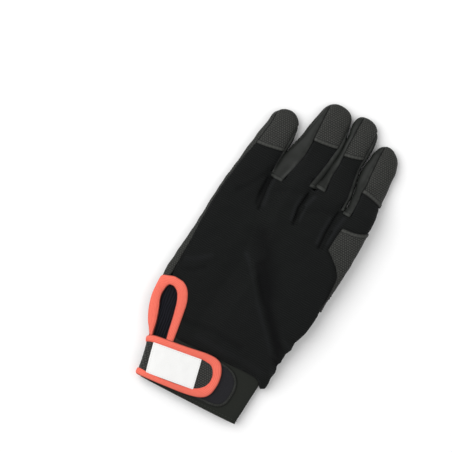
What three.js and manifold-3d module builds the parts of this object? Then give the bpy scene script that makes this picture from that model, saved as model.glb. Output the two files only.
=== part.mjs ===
// A lined work glove for the left hand. It lies palm down with its thumb folded under the palm.
// Millimetres, +Z up. X runs from the little-finger edge to the index edge and Y from the wrist to the
// fingertips. The glove is one hollow shell of cloth and leather, cut along its seams into its panels.
import * as THREE from "three";
import { mergeVertices } from "three/addons/utils/BufferGeometryUtils.js";
import Module from "manifold-3d";

const wasm = await Module();
wasm.setup();

// Driving dimensions
const WALL = 1.7; // outer cloth or leather with its lining
const SEAM_GAP = 0.3; // between two panels that are sewn together
const FLATTEN = 0.5; // how far the underside is pressed flat where it rests
const PALM_SEAM_HEIGHT = 6; // the side seam between palm and back, over the underside
const FOURCHETTE_SEAM_HEIGHT = 3; // the seam between a fourchette and the finger front
const CUFF_SEAM_HEIGHT = 7.2; // where the back and palm parts of the cuff meet
const CUFF_TOP = 39; // the seam between the cuff and the hand
const HEM_AT_MIDDLE = -1.6; // the wrist hem runs slightly askew
const HEM_SLOPE = 0.05;
const THUMB_ROOT = [38, 47]; // where the palm comes down again beside the folded thumb
const FOLD_WIDTH = 18; // across the slope where the hand rises over the thumb
const OVAL_POWER = 2.6; // how square the sections are
const EDGE_CROWDING = 1.5; // how much closer a section's columns stand at its edges
const COLUMNS = { hand: 13, thumb: 8, finger: 6 }; // points across the top of a section
const THUMB_CLEARANCE = 0.5; // between the fold's underside and the cut that frees the thumb
const MOUTH_OVERRUN = 2; // how far the hollow is cut out past the hem
const GUSSET_LAP = 2; // how far the gusset reaches under the vent's binding
const HIGH = 60; // over everything
const LOW = -20; // under everything
const ASIDE = 90; // out past both edges of the hand
const BEHIND = -30; // out past the hem
const CROTCH_LOW = 14; // under the crotch patch's part on the back of the hand
const VENT_LOW = 4; // under the vent, over the palm side of the cuff
const STRAP_LOW = 8; // under the strap, over the palm side of the cuff
const MERGE_DISTANCE = 1e-4;

// The grid of a cutter whose height changes over the table
const CUTTER = { left: -ASIDE, right: ASIDE, near: -20, far: 272, across: 15, along: 22 };

// Layers over the back of the cuff, from and to this far over the shell
const PAD_LAYER = [0.3, 1.6];
const STRAP_LAYER = [2.2, 4.2];
const STRAP_BINDING_LAYER = [1.9, 4.6];
const LABEL_LAYER = [4.5, 5.0];
const VENT_BINDING_LAYER = [-WALL, 1.3];
const GUSSET_LAYER = [-WALL - 1.3, -WALL - 0.3];
const TAB_THICKNESS = 1.8;

// A table's rows as objects with one property for each named column.
function table(names, rows) {
  const keys = names.split(" ");
  return rows.map((row) => Object.fromEntries(keys.map((key, k) => [key, row[k]])));
}

// Hand and cuff: left and right edges, top and the underside's own height over the table
const HAND = table("y left right top base", [
  [-8, -43.2, 41.2, 12, 2.2],
  [24, -49.3, 43, 12, 2.2],
  [34, -54.5, 43.6, 12.5, 2.2],
  [38.5, -57.5, 48.4, 13, 2.2],
  [58, -63.4, 48.4, 13, 2.2],
  [68, -64, 49.6, 13, 1.2],
  [80, -63.8, 52.5, 13, 0],
  [95, -62.7, 55.3, 13, 0],
  [112, -61.4, 56.6, 13, 0],
  [130, -60.7, 58, 13, 0],
  [150, -59.6, 59, 13, 0],
  [168, -58.1, 58.6, 12.6, 0],
  [180, -57, 58.3, 12, 0],
  [186, -55.5, 57, 9.5, 0],
]);

// The fold over the thumb: how high it lifts the hand, and the place across the hand by which it is up.
// In root, 1 is where hand and thumb are one fold at the index edge and 0 where they are apart.
const THUMB_FOLD = table("y lift edge root", [
  [-20, 0, -4, 1],
  [36, 0, -4, 1],
  [52, 5, -4, 1],
  [62, 7.2, -3.5, 1],
  [80, 9.4, -2, 1],
  [95, 10.2, -1, 1],
  [110, 10.2, 1, 1],
  [125, 10.2, -1.5, 0.9],
  [140, 10.2, -4.5, 0],
  [160, 10.2, -9, 0],
  [186, 10.2, -9, 0],
  [198, 6, -9, 0],
  [214, 0, -9, 0],
  [280, 0, -9, 0],
]);

const THUMB = table("y left right top base", [
  [56, 4.5, 46, 5.2, 0],
  [70, 6.8, 47.5, 7.4, 0],
  [85, 6.2, 51, 9, 0],
  [100, 8.6, 53, 9.6, 0],
  [119, 8, 55, 9.6, 0],
  [132, 5.5, 55, 9.6, 0],
  [152, 0.2, 46.5, 9.6, 0],
  [162, -1.2, 42, 9.6, 0],
  [172, -0.6, 38, 9.2, 0],
  [180, 1.2, 34.5, 8.2, 0],
  [184.5, 5, 30.5, 6.4, 0],
  [187, 11, 25, 4, 0],
]);

const FINGERS = {
  little: table("y left right top base", [
    [160, -57, -30, 9, 1],
    [178, -56.9, -29.6, 11.5, 0],
    [200, -54.7, -29.1, 12, 0],
    [218, -52.3, -28.9, 12, 0],
    [224, -50.6, -30.4, 11, 0],
    [228, -47.5, -34, 8.8, 0],
    [230.6, -43.5, -37, 5.4, 0.5],
  ]),
  ring: table("y left right top base", [
    [160, -27.5, 2, 9, 1],
    [178, -28.4, 2.6, 11.5, 0],
    [200, -27.9, 5.6, 12, 0],
    [222, -24, 7, 12, 0],
    [242, -20.3, 5.4, 11.5, 0],
    [248, -18.6, 3.6, 10, 0],
    [251.5, -14.5, -0.5, 8, 0],
    [253.5, -10, -4, 5.2, 0.5],
  ]),
  middle: table("y left right top base", [
    [160, 3.5, 31.5, 9, 1],
    [178, 4.2, 31.8, 11.5, 0],
    [190, 6.2, 32.4, 12, 0],
    [210, 8.3, 29.3, 12, 0],
    [232, 8.6, 29.2, 12, 0],
    [243, 6.4, 28.4, 11.5, 0],
    [250, 6.2, 25.2, 10, 0],
    [254, 9.5, 22.5, 7.8, 0],
    [255.7, 12.5, 18.5, 5.2, 0.5],
  ]),
  index: table("y left right top base", [
    [160, 31.8, 58, 9, 1],
    [178, 32.6, 58.2, 11.5, 0],
    [200, 33.6, 57, 12, 0],
    [210, 30.4, 55.7, 12, 0],
    [230, 30.2, 53, 11.5, 0],
    [238, 32, 50.3, 10, 0],
    [242.5, 34.8, 46, 7.8, 0],
    [244.4, 37, 42, 5.2, 0.5],
  ]),
};

// Outlines seen from above, as x and y pairs in order
const OUTLINES = {
  strap: [
    [-60, 24.6], [-44.5, 24.6], [-30, 27], [-15, 29.5], [-2, 31], [3, 30.6], [6.5, 28], [8.5, 23],
    [8.5, 18], [6.5, 13.5], [2, 10], [-8, 6.8], [-20, 4.7], [-32, 3.2], [-44.3, 3.2], [-60, 3.2],
  ],
  strap_edge: [
    [-60, 28], [-45, 29.5], [-30, 32], [-15, 35], [0, 37.4], [6, 37], [11, 33.5], [14.5, 26], [15.1, 20],
    [14.6, 13], [11.5, 8], [5, 4.2], [-5, 1.6], [-18, -0.4], [-32, -2], [-60, -3],
  ],
  label: [[-43.3, 24.5], [-5, 30.7], [0, 9.2], [-38.3, 3.6]],
  loop_pad: [
    [-24, 6], [-10, 4.5], [8, 3.2], [17, 3.6], [24, 5.2], [28.3, 9], [29.4, 15], [29, 22], [26.5, 29.5],
    [21.5, 34.6], [14, 36.2], [-24, 28],
  ],
  vent_edge: [
    [-80, 22], [-49, 23], [-32.5, 27], [-31.5, 36], [-33, 48], [-35, 60], [-38.5, 69], [-44, 74.8],
    [-51, 76.3], [-57.5, 74.8], [-64, 70], [-80, 67],
  ],
  vent: [
    [-47.5, 30], [-36.8, 30], [-38, 38], [-41.5, 51], [-45.5, 61], [-49.5, 67], [-53.5, 68.6], [-56.6, 66.5],
    [-57, 60.5], [-54.5, 51.5], [-50.5, 42], [-48.3, 35],
  ],
  pull_tab: [[-31.6, 21], [-10, 21], [-7.3, 62], [-28.8, 62]],
  wrapped_edge: [
    [-80, 76.6], [-58, 77.2], [-58, 100], [-58.3, 130], [-57, 155], [-55.5, 170], [-54, 183], [-52, 197],
    [-50.5, 210], [-50, 223], [-80, 224],
  ],
  crotch_back: [
    [36.5, 152], [37.2, 165], [38, 172], [50, 173.6], [58, 178], [80, 178], [80, 95], [56, 97], [55, 112],
    [54.2, 130], [50, 141.5], [43.5, 146.8],
  ],
  crotch_edge: [[54, 108], [80, 108], [80, 146], [54, 146]],
  crotch_thumb: [
    [33, 184], [31.5, 176], [26.8, 172], [20.2, 163], [16.2, 153], [16, 145], [18.4, 137], [25.9, 130],
    [35.6, 125], [45.3, 121], [80, 115], [80, 192], [36, 192],
  ],
  thumb: [
    [-2.2, 162], [-1.2, 152], [1.8, 142], [4.2, 132], [5.9, 122], [7.8, 110], [6.6, 98], [4.9, 85],
    [5.3, 70], [3.2, 56], [2.5, 50.5], [80, 50.5], [80, 191], [-2, 191],
  ],
  thumb_front: [[-5, 53], [41, 53], [41, 122], [45, 140], [36, 170], [33, 191], [-5, 191]],
};

const FOURCHETTES = {
  little_ring: [
    [-31, 178.6], [-20.8, 180], [-18.6, 190], [-16, 200], [-14.4, 210], [-14.6, 220], [-16, 235],
    [-16.8, 247], [-31, 247], [-30.4, 222],
  ],
  ring_middle: [
    [-0.5, 181.5], [12.6, 181.5], [12.5, 190], [11.6, 203], [12, 212], [10.6, 230], [10.3, 249], [4, 249],
    [4.9, 240], [5.3, 232], [4.8, 222], [3.4, 210], [1.8, 200], [0.2, 190],
  ],
  middle_index: [
    [30.4, 181.5], [38.4, 181.5], [38.5, 196], [37.5, 203], [38, 210], [37, 218], [35.6, 232], [35.5, 241],
    [25.5, 245], [26.5, 235], [27, 222], [28, 210], [29.6, 200], [30.9, 190],
  ],
};

const CAPS = {
  little: [[-51.2, 196], [-28, 200.8], [-28, 240], [-60, 240], [-60, 224.4], [-50.2, 223.4]],
  ring: [[-14.6, 219.5], [9, 223], [9, 262], [-24, 262], [-24, 247.4], [-16.4, 247.4]],
  middle: [[11.2, 220.5], [28, 225.2], [32, 262], [4, 262], [4, 249.4], [10.3, 249.4]],
  index: [[38.3, 203], [60, 199.4], [60, 256], [26, 256], [26, 245.4], [35.6, 241.4]],
};

// Finishes: colour, roughness
const FINISHES = {
  black_cloth: [0x1c1d1b, 0.95],
  pebbled_leather: [0x3f413b, 0.62],
  smooth_leather: [0x373936, 0.6],
  cuff_cloth: [0x2a2b28, 0.9],
  loop_cloth: [0x26272c, 1],
  coral_tape: [0xff7058, 0.85],
  label_cloth: [0xf2f1ee, 0.8],
};

const smoothStep = (from, to, x) => THREE.MathUtils.smoothstep(x, from, to);

// A table's values at a height along Y, between its rows.
function rowAt(rows, y) {
  const after = rows.findIndex((row) => row.y >= y);
  if (after <= 0) return rows[after === 0 ? 0 : rows.length - 1];
  const [a, b] = [rows[after - 1], rows[after]];
  const share = (y - a.y) / (b.y - a.y);
  return Object.fromEntries(Object.keys(a).map((key) => [key, a[key] + share * (b[key] - a[key])]));
}

// How far the folded thumb lifts the back of the hand, and its underside, at a place.
function liftAt(x, y) {
  const fold = rowAt(THUMB_FOLD, y);
  const top = fold.lift * smoothStep(fold.edge - FOLD_WIDTH, fold.edge, x);
  return { top, under: top * (1 - fold.root * smoothStep(...THUMB_ROOT, x)) };
}

const noLift = () => ({ top: 0, under: 0 });

function geometryFrom(points, faces) {
  const geometry = new THREE.BufferGeometry();
  geometry.setAttribute("position", new THREE.Float32BufferAttribute(points.flat(), 3));
  geometry.setIndex(faces.flat());
  return geometry;
}

// A geometry as a solid that can be joined and cut.
function solid(geometry) {
  const bare = geometry.clone();
  bare.deleteAttribute("normal");
  bare.deleteAttribute("uv");
  const merged = mergeVertices(bare, MERGE_DISTANCE);
  return new wasm.Manifold(
    new wasm.Mesh({
      numProp: 3,
      vertProperties: merged.attributes.position.array,
      triVerts: new Uint32Array(merged.index.array),
    }),
  );
}

// A closed tube through the rows of a table. Its sections are flattened ovals, lifted by the thumb's
// fold, and grow moves its surface out, or in where it is negative.
function loft(rows, columns, grow, lift = liftAt) {
  const count = 2 * (columns - 1);
  const length = rows.at(-1).y - rows[0].y;
  const points = [];
  for (const row of rows) {
    const y = rows[0].y + ((row.y - rows[0].y) * (length + grow)) / length;
    const middle = (row.left + row.right) / 2;
    const half = (row.right - row.left) / 2 + grow;
    for (let k = 0; k < count; k++) {
      const upper = k < columns;
      const even = (2 * (upper ? k : count - k)) / (columns - 1) - 1;
      const place = Math.sign(even) * (1 - (1 - Math.abs(even)) ** EDGE_CROWDING);
      const x = middle + half * place;
      const lifted = lift(x, y);
      const top = row.top + grow + lifted.top;
      const bottom = row.base - grow + lifted.under;
      const bulge = (1 - Math.abs(place) ** OVAL_POWER) ** (1 / OVAL_POWER);
      const side = upper ? bulge : -bulge;
      const z = (top + bottom) / 2 + ((top - bottom) / 2) * side;
      points.push([x, y, upper ? z : Math.max(z - FLATTEN * bulge, bottom)]);
    }
  }
  const faces = [];
  for (let i = 0; i + 1 < rows.length; i++) {
    for (let k = 0; k < count; k++) {
      const a = i * count + k;
      const b = i * count + ((k + 1) % count);
      faces.push([a, b, b + count], [a, b + count, a + count]);
    }
  }
  const end = (rows.length - 1) * count;
  for (let k = 0; k + 1 < columns; k++) {
    const under = (j) => (count - j) % count;
    const cap = [];
    if (k + 2 < columns) cap.push([k, k + 1, under(k + 1)]);
    else cap.push([k, k + 1, under(k)]);
    if (k > 0 && k + 2 < columns) cap.push([k, under(k + 1), under(k)]);
    for (const [a, b, c] of cap) {
      faces.push([end + a, end + b, end + c], [a, c, b]);
    }
  }
  return solid(geometryFrom(points, faces));
}

// An outline moved outwards by a distance, corner by corner.
function grownOutline(outline, distance) {
  const turn = Math.sign(THREE.ShapeUtils.area(outline.map(([x, y]) => new THREE.Vector2(x, y))));
  const count = outline.length;
  return outline.map((corner, k) => {
    const before = new THREE.Vector2(...outline[(k + count - 1) % count]);
    const after = new THREE.Vector2(...outline[(k + 1) % count]);
    const here = new THREE.Vector2(...corner);
    const inward = here.clone().sub(before).normalize();
    const onward = after.sub(here).normalize();
    const out = new THREE.Vector2(inward.y + onward.y, -inward.x - onward.x).normalize();
    const reach = (distance * turn) / Math.max(0.5, out.dot(new THREE.Vector2(onward.y, -onward.x)));
    return [here.x + out.x * reach, here.y + out.y * reach];
  });
}

// An upright prism over an outline.
function prism(outline, low = LOW, high = HIGH, grow = 0) {
  const corners = grownOutline(outline, grow).map(([x, y]) => new THREE.Vector2(x, y));
  const depth = high - low + 2 * grow;
  const geometry = new THREE.ExtrudeGeometry(new THREE.Shape(corners), { depth, bevelEnabled: false });
  return solid(geometry.translate(0, 0, low - grow));
}

// All that lies under a height which changes over the table.
function under(heightAt) {
  const { left, right, near, far, across, along } = CUTTER;
  const points = [];
  for (const top of [true, false]) {
    for (let j = 0; j <= along; j++) {
      for (let i = 0; i <= across; i++) {
        const x = left + ((right - left) * i) / across;
        const y = near + ((far - near) * j) / along;
        points.push([x, y, top ? heightAt(x, y) : LOW]);
      }
    }
  }
  const layer = (across + 1) * (along + 1);
  const at = (i, j) => j * (across + 1) + i;
  const faces = [];
  for (let j = 0; j < along; j++) {
    for (let i = 0; i < across; i++) {
      const [a, b, c, d] = [at(i, j), at(i + 1, j), at(i + 1, j + 1), at(i, j + 1)];
      faces.push([a, b, c], [a, c, d], [a + layer, c + layer, b + layer], [a + layer, d + layer, c + layer]);
    }
  }
  const wall = (a, b) => faces.push([a, a + layer, b + layer], [a, b + layer, b]);
  for (let i = 0; i < across; i++) {
    wall(at(i, 0), at(i + 1, 0));
    wall(at(i + 1, along), at(i, along));
  }
  for (let j = 0; j < along; j++) {
    wall(at(across, j), at(across, j + 1));
    wall(at(0, j + 1), at(0, j));
  }
  return solid(geometryFrom(points, faces));
}

const joined = (solids) => solids.reduce((all, one) => all.add(one));

// The hand at its own surface or a layer's; its first row reaches past the hem.
const hand = (grow) => loft(HAND, COLUMNS.hand, grow);

// The part of a layer over the hand that lies within an outline.
const overlay = (outline, [from, to], low, grow = 0) =>
  hand(to).subtract(hand(from)).intersect(prism(outline, low, HIGH, grow));

function hollowShell() {
  const fingers = Object.values(FINGERS);
  const outside = joined([
    hand(0),
    loft(THUMB, COLUMNS.thumb, 0, noLift),
    ...fingers.map((rows) => loft(rows, COLUMNS.finger, 0)),
  ]);
  const mouth = { ...HAND[0], y: HAND[0].y - MOUTH_OVERRUN };
  const inside = joined([
    loft([mouth, ...HAND], COLUMNS.hand, -WALL),
    loft(THUMB.map((row) => ({ ...row, y: row.y + WALL })), COLUMNS.thumb, -WALL, noLift),
    ...fingers.map((rows) => loft(rows, COLUMNS.finger, -WALL)),
  ]);
  const hemLine = (x) => HEM_AT_MIDDLE + HEM_SLOPE * x;
  const pastHem = prism([[-ASIDE, BEHIND], [ASIDE, BEHIND], [ASIDE, hemLine(ASIDE)], [-ASIDE, hemLine(-ASIDE)]]);
  return outside.subtract(inside).subtract(pastHem);
}

// Cutting the shell: each panel leaves the shell with a gap all round for its seam
let shell = hollowShell();

function largest(pieces) {
  const bodies = pieces.decompose();
  return bodies.reduce((most, one) => (one.volume() > most.volume() ? one : most));
}

function take(cutter) {
  const piece = largest(shell.intersect(cutter(0)));
  shell = shell.subtract(cutter(SEAM_GAP));
  return piece;
}

const panels = {};

const seamHeight = (height, grow) => under((x, y) => height + liftAt(x, y).under + grow);
const thumbTop = (grow) => under((x, y) => rowAt(THUMB_FOLD, y).lift - THUMB_CLEARANCE + grow);
const thumbMiddle = (grow) => under((x, y) => rowAt(THUMB, y).top / 2 - grow);

shell = shell.subtract(prism(OUTLINES.vent_edge, VENT_LOW, HIGH, SEAM_GAP));

const cuff = [[-ASIDE, BEHIND], [ASIDE, BEHIND], [ASIDE, CUFF_TOP], [-ASIDE, CUFF_TOP]];
panels.cuff_palm = take((grow) => prism(cuff, LOW, CUFF_SEAM_HEIGHT, grow));
panels.cuff_back = take((grow) => prism(cuff, CUFF_SEAM_HEIGHT, HIGH, grow));

for (const [fingers, outline] of Object.entries(FOURCHETTES)) {
  panels["fourchette_" + fingers] = take((grow) =>
    prism(outline, LOW, HIGH, grow).subtract(seamHeight(FOURCHETTE_SEAM_HEIGHT, -grow)),
  );
}
for (const [finger, outline] of Object.entries(CAPS)) {
  panels["cap_" + finger] = take((grow) =>
    prism(outline, LOW, HIGH, grow).subtract(seamHeight(PALM_SEAM_HEIGHT, -grow)),
  );
}

panels.crotch_patch = take((grow) =>
  joined([
    prism(OUTLINES.crotch_back, CROTCH_LOW, HIGH, grow),
    prism(OUTLINES.crotch_edge, LOW, HIGH, grow),
    prism(OUTLINES.crotch_thumb, LOW, HIGH, grow).intersect(thumbTop(grow)),
  ]),
);
panels.thumb_front = take((grow) =>
  prism(OUTLINES.thumb_front, LOW, HIGH, grow).intersect(thumbTop(grow)).subtract(thumbMiddle(grow)),
);
panels.thumb_back = take((grow) => prism(OUTLINES.thumb, LOW, HIGH, grow).intersect(thumbTop(grow)));
panels.palm_panel = take((grow) =>
  seamHeight(PALM_SEAM_HEIGHT, grow).add(prism(OUTLINES.wrapped_edge, LOW, HIGH, grow)),
);
panels.back_panel = largest(shell);

// What lies on the shell
const strapCore = prism(OUTLINES.strap, LOW, HIGH, SEAM_GAP);
const ventOpening = prism(OUTLINES.vent, LOW, HIGH);
panels.strap = largest(overlay(OUTLINES.strap, STRAP_LAYER, STRAP_LOW));
panels.strap_binding = largest(overlay(OUTLINES.strap_edge, STRAP_BINDING_LAYER, STRAP_LOW).subtract(strapCore));
panels.label = largest(overlay(OUTLINES.label, LABEL_LAYER, STRAP_LOW));
panels.loop_pad = largest(overlay(OUTLINES.loop_pad, PAD_LAYER, STRAP_LOW));
panels.vent_binding = largest(
  overlay(OUTLINES.vent_edge, VENT_BINDING_LAYER, VENT_LOW).subtract(ventOpening),
);
panels.vent_gusset = largest(overlay(OUTLINES.vent, GUSSET_LAYER, VENT_LOW, GUSSET_LAP));
panels.pull_tab = prism(OUTLINES.pull_tab, 0, TAB_THICKNESS);

const PANEL_FINISHES = {
  back_panel: "black_cloth",
  thumb_back: "black_cloth",
  vent_gusset: "black_cloth",
  cuff_back: "cuff_cloth",
  cuff_palm: "cuff_cloth",
  fourchette_little_ring: "smooth_leather",
  fourchette_ring_middle: "smooth_leather",
  fourchette_middle_index: "smooth_leather",
  loop_pad: "loop_cloth",
  strap_binding: "coral_tape",
  vent_binding: "coral_tape",
  label: "label_cloth",
};

const glove = new THREE.Group();
for (const [name, panel] of Object.entries(panels)) {
  const { vertProperties, triVerts } = panel.getMesh();
  const geometry = new THREE.BufferGeometry();
  geometry.setAttribute("position", new THREE.Float32BufferAttribute(vertProperties, 3));
  geometry.setIndex(new THREE.BufferAttribute(triVerts, 1));
  const [color, roughness] = FINISHES[PANEL_FINISHES[name] ?? "pebbled_leather"];
  const material = new THREE.MeshStandardMaterial({ color, roughness, metalness: 0 });
  const mesh = new THREE.Mesh(geometry, material);
  mesh.name = name;
  glove.add(mesh);
}

// The origin is on the table, under the middle of the glove
const box = new THREE.Box3().setFromObject(glove);
const centre = box.getCenter(new THREE.Vector3());
glove.position.set(-centre.x, -centre.y, -box.min.z);

export default glove;
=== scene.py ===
"""A lined work glove for the left hand, lying palm down with its thumb folded under the palm.

Sizes are millimetres on the glove: X runs to the index edge, Y to the fingertips and Z up. TO_FRAME
moves them to the part's own frame, and every mesh is written there in metres.
"""

import bpy
import numpy as np
from mathutils import Matrix, Vector
from mathutils.geometry import delaunay_2d_cdt
from mathutils.kdtree import KDTree


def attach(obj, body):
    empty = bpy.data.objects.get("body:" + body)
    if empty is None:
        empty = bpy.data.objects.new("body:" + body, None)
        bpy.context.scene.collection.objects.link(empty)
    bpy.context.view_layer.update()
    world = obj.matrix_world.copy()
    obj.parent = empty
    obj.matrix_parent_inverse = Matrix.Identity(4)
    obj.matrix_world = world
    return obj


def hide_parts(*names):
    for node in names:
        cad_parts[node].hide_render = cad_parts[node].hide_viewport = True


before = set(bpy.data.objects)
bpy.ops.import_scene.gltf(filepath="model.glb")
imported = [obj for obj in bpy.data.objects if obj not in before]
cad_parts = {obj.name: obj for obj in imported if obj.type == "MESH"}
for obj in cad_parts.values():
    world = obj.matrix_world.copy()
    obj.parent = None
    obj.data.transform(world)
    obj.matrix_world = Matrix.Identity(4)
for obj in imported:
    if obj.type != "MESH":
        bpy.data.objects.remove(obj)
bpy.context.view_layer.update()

# A millimetre in metres, a full turn in radians, and the height of an even triangle over its side
MM = 0.001
TURN = 6.283
TRIANGLE = 0.866
TO_FRAME = np.array([3.15, -125.95, 0.0])

# Camera: straight above, with the glove turned in the picture
VIEW_CENTRE = (-36.65, 3.05, 12.0)
VIEW_WIDTH = 346.6
VIEW_DISTANCE = 1550.0
VIEW_UP = (-0.5, TRIANGLE, 0.0)
SENSOR = 36.0

# Lights by place, width and power, in metres and watts, and the floor
LIGHTS = {"key": ((-0.85, 0.1, 1.25), 1.3, 17), "fill": ((0.8, 0.4, 1.3), 1.0, 4)}
WORLD_STRENGTH = 0.56
FLOOR_COLOUR, FLOOR_ROUGHNESS = (0.93, 0.93, 0.93, 1), 0.9
FLOOR_REACH = 3

# Walls and nets: an outline's steps are LINE_SHARE of the net's spacing, and corners nearer than
# MERGE_SHARE of it merge. Rings of points follow the outline at RING_REACHES inside it, and the net
# stays RING_CLEAR away from it. FAR stands for no edge near, and MARKS are what the looks read: the
# distance to seams, the distance to hems, and the painted shade of the folds, negative for painted
# highlight on their ridges. Where a wall lies on the floor, its inner side stays FLOOR_SHARE of the
# wall above it.
WALL = 1.3
FLOOR_SHARE = 0.6
SPACING = 1.2
LINE_SHARE, MERGE_SHARE = 0.8, 0.2
RING_REACHES, RING_CROWDING = (0.38, 0.8), 0.85
RING_CLEAR = 1.15
ON_EDGE = 0.02
WELD_GAP = 0.35
FAR = 99.0
MARKS = ("seam", "hem", "fold_and_painted_shade")
TAPE_POWER, TAPE_UNDERSIDE = 2.4, -0.25

# Unevenness of the cloth: each kind's height, scale and seed, and how many waves make it up
UNDULATIONS = ((0.5, 34, 4), (0.2, 13, 5))
WAVE_COUNT, WAVE_REACH = 9, 3.2

# Stitches: steps along a row's line, and how far a hem's two rows are from its edge
STITCH_STEP = 0.7
HEM_ROWS = (0.9, 2.2)

# Tubes: how square they are across, where the hand parts into fingers, and heights over the floor
HAND_POWER, FINGER_POWER = 2.7, 2.3
HAND_DEPTH = 0.58
FINGER_START = 160
FINGER_MIDDLE, FINGER_TOP, FINGER_DEPTH = 6.0, 12.2, 6.9
TIP_HEIGHT = 4.6
THUMB_JOINED, THUMB_TIP_HEIGHT, THUMB_DEPTH = 11.6, 3.6, 1.2
TIP_THINNING, THUMB_TIP_FLATNESS = 0.75, 0.4
WEB_HEIGHT = 5.0
FOLD_WIDTH = 18.0

# Stretches over which one shape turns into another
FINGERS_Y, OUTER_Y = (150.0, 186.0), (176, 190)
ROOT_X = (38, 47)
WEB_INSET_X, WEB_END_Y = (4, 9), (184, 189)
JOINED_X, JOINED_Y, THUMB_TIP_Y = (34, 50), (118, 138), (166, 187)
RELIEF_Y, RELIEF_Z = (34, 44), (3.5, 7.5)
PATCH_WRAP_Y, PATCH_WEB_Y = (106, 126), (104, 126)
WRAP_FADE = 12

# Skins: the way round an edge goes in steps and starts a margin in from it
ARC_STEP, ARC_LIMIT = 0.25, 62.0
RIM_SAMPLES, LAST_CELL = 90, 1.001
NORMAL_REACH = 0.3
EDGE_MARGIN, WHOLE_MARGIN = 14, 40
TIP_STEPS = np.array([0.6, 0.35, 0.2, 0.1, 0.04, 0.0])
TIP_GAP = 0.02
INDEX_WRAP = 2.3
CAP_LAP = 3


def fine(spacing):
    return spacing


def placed(name, data):
    """An object in the scene for a mesh, a camera or a light."""
    made = bpy.data.objects.new(name, data)
    bpy.context.scene.collection.objects.link(made)
    return made


def curve(xs, ys):
    """A smooth curve through points that never overshoots them."""
    xs, ys = np.asarray(xs, float), np.asarray(ys, float)
    steps = np.diff(xs)
    slopes = np.diff(ys) / steps
    same = slopes[1:] * slopes[:-1] > 0
    total = np.where(same, slopes[1:] + slopes[:-1], 1)
    tangents = np.r_[slopes[0], np.where(same, 2 * slopes[1:] * slopes[:-1] / total, 0), slopes[-1]]

    def value(x):
        x = np.clip(x, xs[0], xs[-1])
        k = np.clip(np.searchsorted(xs, x, side="right") - 1, 0, len(steps) - 1)
        step = steps[k]
        t = (x - xs[k]) / step
        start = (1 + 2 * t) * (1 - t) ** 2 * ys[k] + t * (1 - t) ** 2 * step * tangents[k]
        return start + t * t * (3 - 2 * t) * ys[k + 1] + t * t * (t - 1) * step * tangents[k + 1]

    return value


def table(names, rows):
    """A curve over Y for each named column."""
    data = np.array(rows, float)
    return {name: curve(data[:, 0], data[:, k + 1]) for k, name in enumerate(names.split())}


HAND = table("left right top base", [
    (30, -51.8, 44.5, 12.2, 2.2),
    (32.8, -53.1, 46.6, 12.5, 2.2),
    (36, -54.7, 49.0, 12.9, 2.2),
    (40, -56.7, 48.9, 13.4, 2.2),
    (44, -58.6, 48.4, 13.6, 2.2),
    (52, -61.4, 48.4, 13.4, 2.2),
    (58, -62.6, 48.8, 13, 2.0),
    (66, -63.1, 49.2, 13, 1.2),
    (74, -63.4, 50.5, 13, 0.4),
    (80, -63.6, 51.7, 13, 0),
    (90, -63, 54.2, 13, 0),
    (100, -62.3, 55.5, 13, 0),
    (112, -61.4, 55.8, 13, 0),
    (130, -60.8, 57.2, 13, 0),
    (140, -60.4, 57.7, 13, 0),
    (150, -59.5, 57.9, 13, 0),
    (168, -58.1, 58.0, 12.7, 0),
    (180, -57, 57.3, 12.3, 0),
    (200, -54.8, 55.2, 12, 0),
])
CUFF = table("left right top base", [
    (-8, -39.2, 41.6, 12, 2.2),
    (2, -40.4, 42.4, 12, 2.2),
    (12, -42.3, 42.9, 12, 2.2),
    (24, -45.6, 43.4, 12, 2.2),
    (34, -50.4, 43.9, 12, 2.2),
    (46, -56.5, 44.0, 11.4, 2.6),
])

# The fold over the thumb: its lift, the place by which it is up, and 1 where hand and thumb are one
FOLD = table("lift edge root", [
    (-20, 0, -4, 1),
    (36, 0, -4, 1),
    (52, 5, -4, 1),
    (62, 7.2, -3.5, 1),
    (80, 9.4, -2, 1),
    (95, 10.2, -1, 1),
    (110, 10.2, 1, 1),
    (125, 10.2, -1.5, 0.9),
    (140, 10.2, -4.5, 0),
    (160, 10.2, -9, 0),
    (186, 10.2, -9, 0),
    (198, 6, -9, 0),
    (214, 0, -9, 0),
    (280, 0, -9, 0),
])

# Thumb, under the palm: its right edge is the hand's own up to where the two part
THUMB = {"tip": (166, 187.5, 2.3), **table("left right top", [
    (48, 3.2, 48.2, 4.6),
    (56, 4.3, 48.5, 5.4),
    (64, 6.4, 48.9, 6.6),
    (72, 6.9, 50.0, 7.6),
    (85, 6.2, 52.8, 9),
    (100, 8.6, 55.2, 9.6),
    (119, 8, 56, 9.6),
    (132, 5.5, 55.6, 9.6),
    (142, 2.6, 52.6, 9.6),
    (152, 0.2, 47.3, 9.6),
    (162, -1.2, 42.4, 9.6),
    (170, -1.2, 39.0, 9.6),
    (188, -0.4, 37.4, 9.4),
])}

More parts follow.
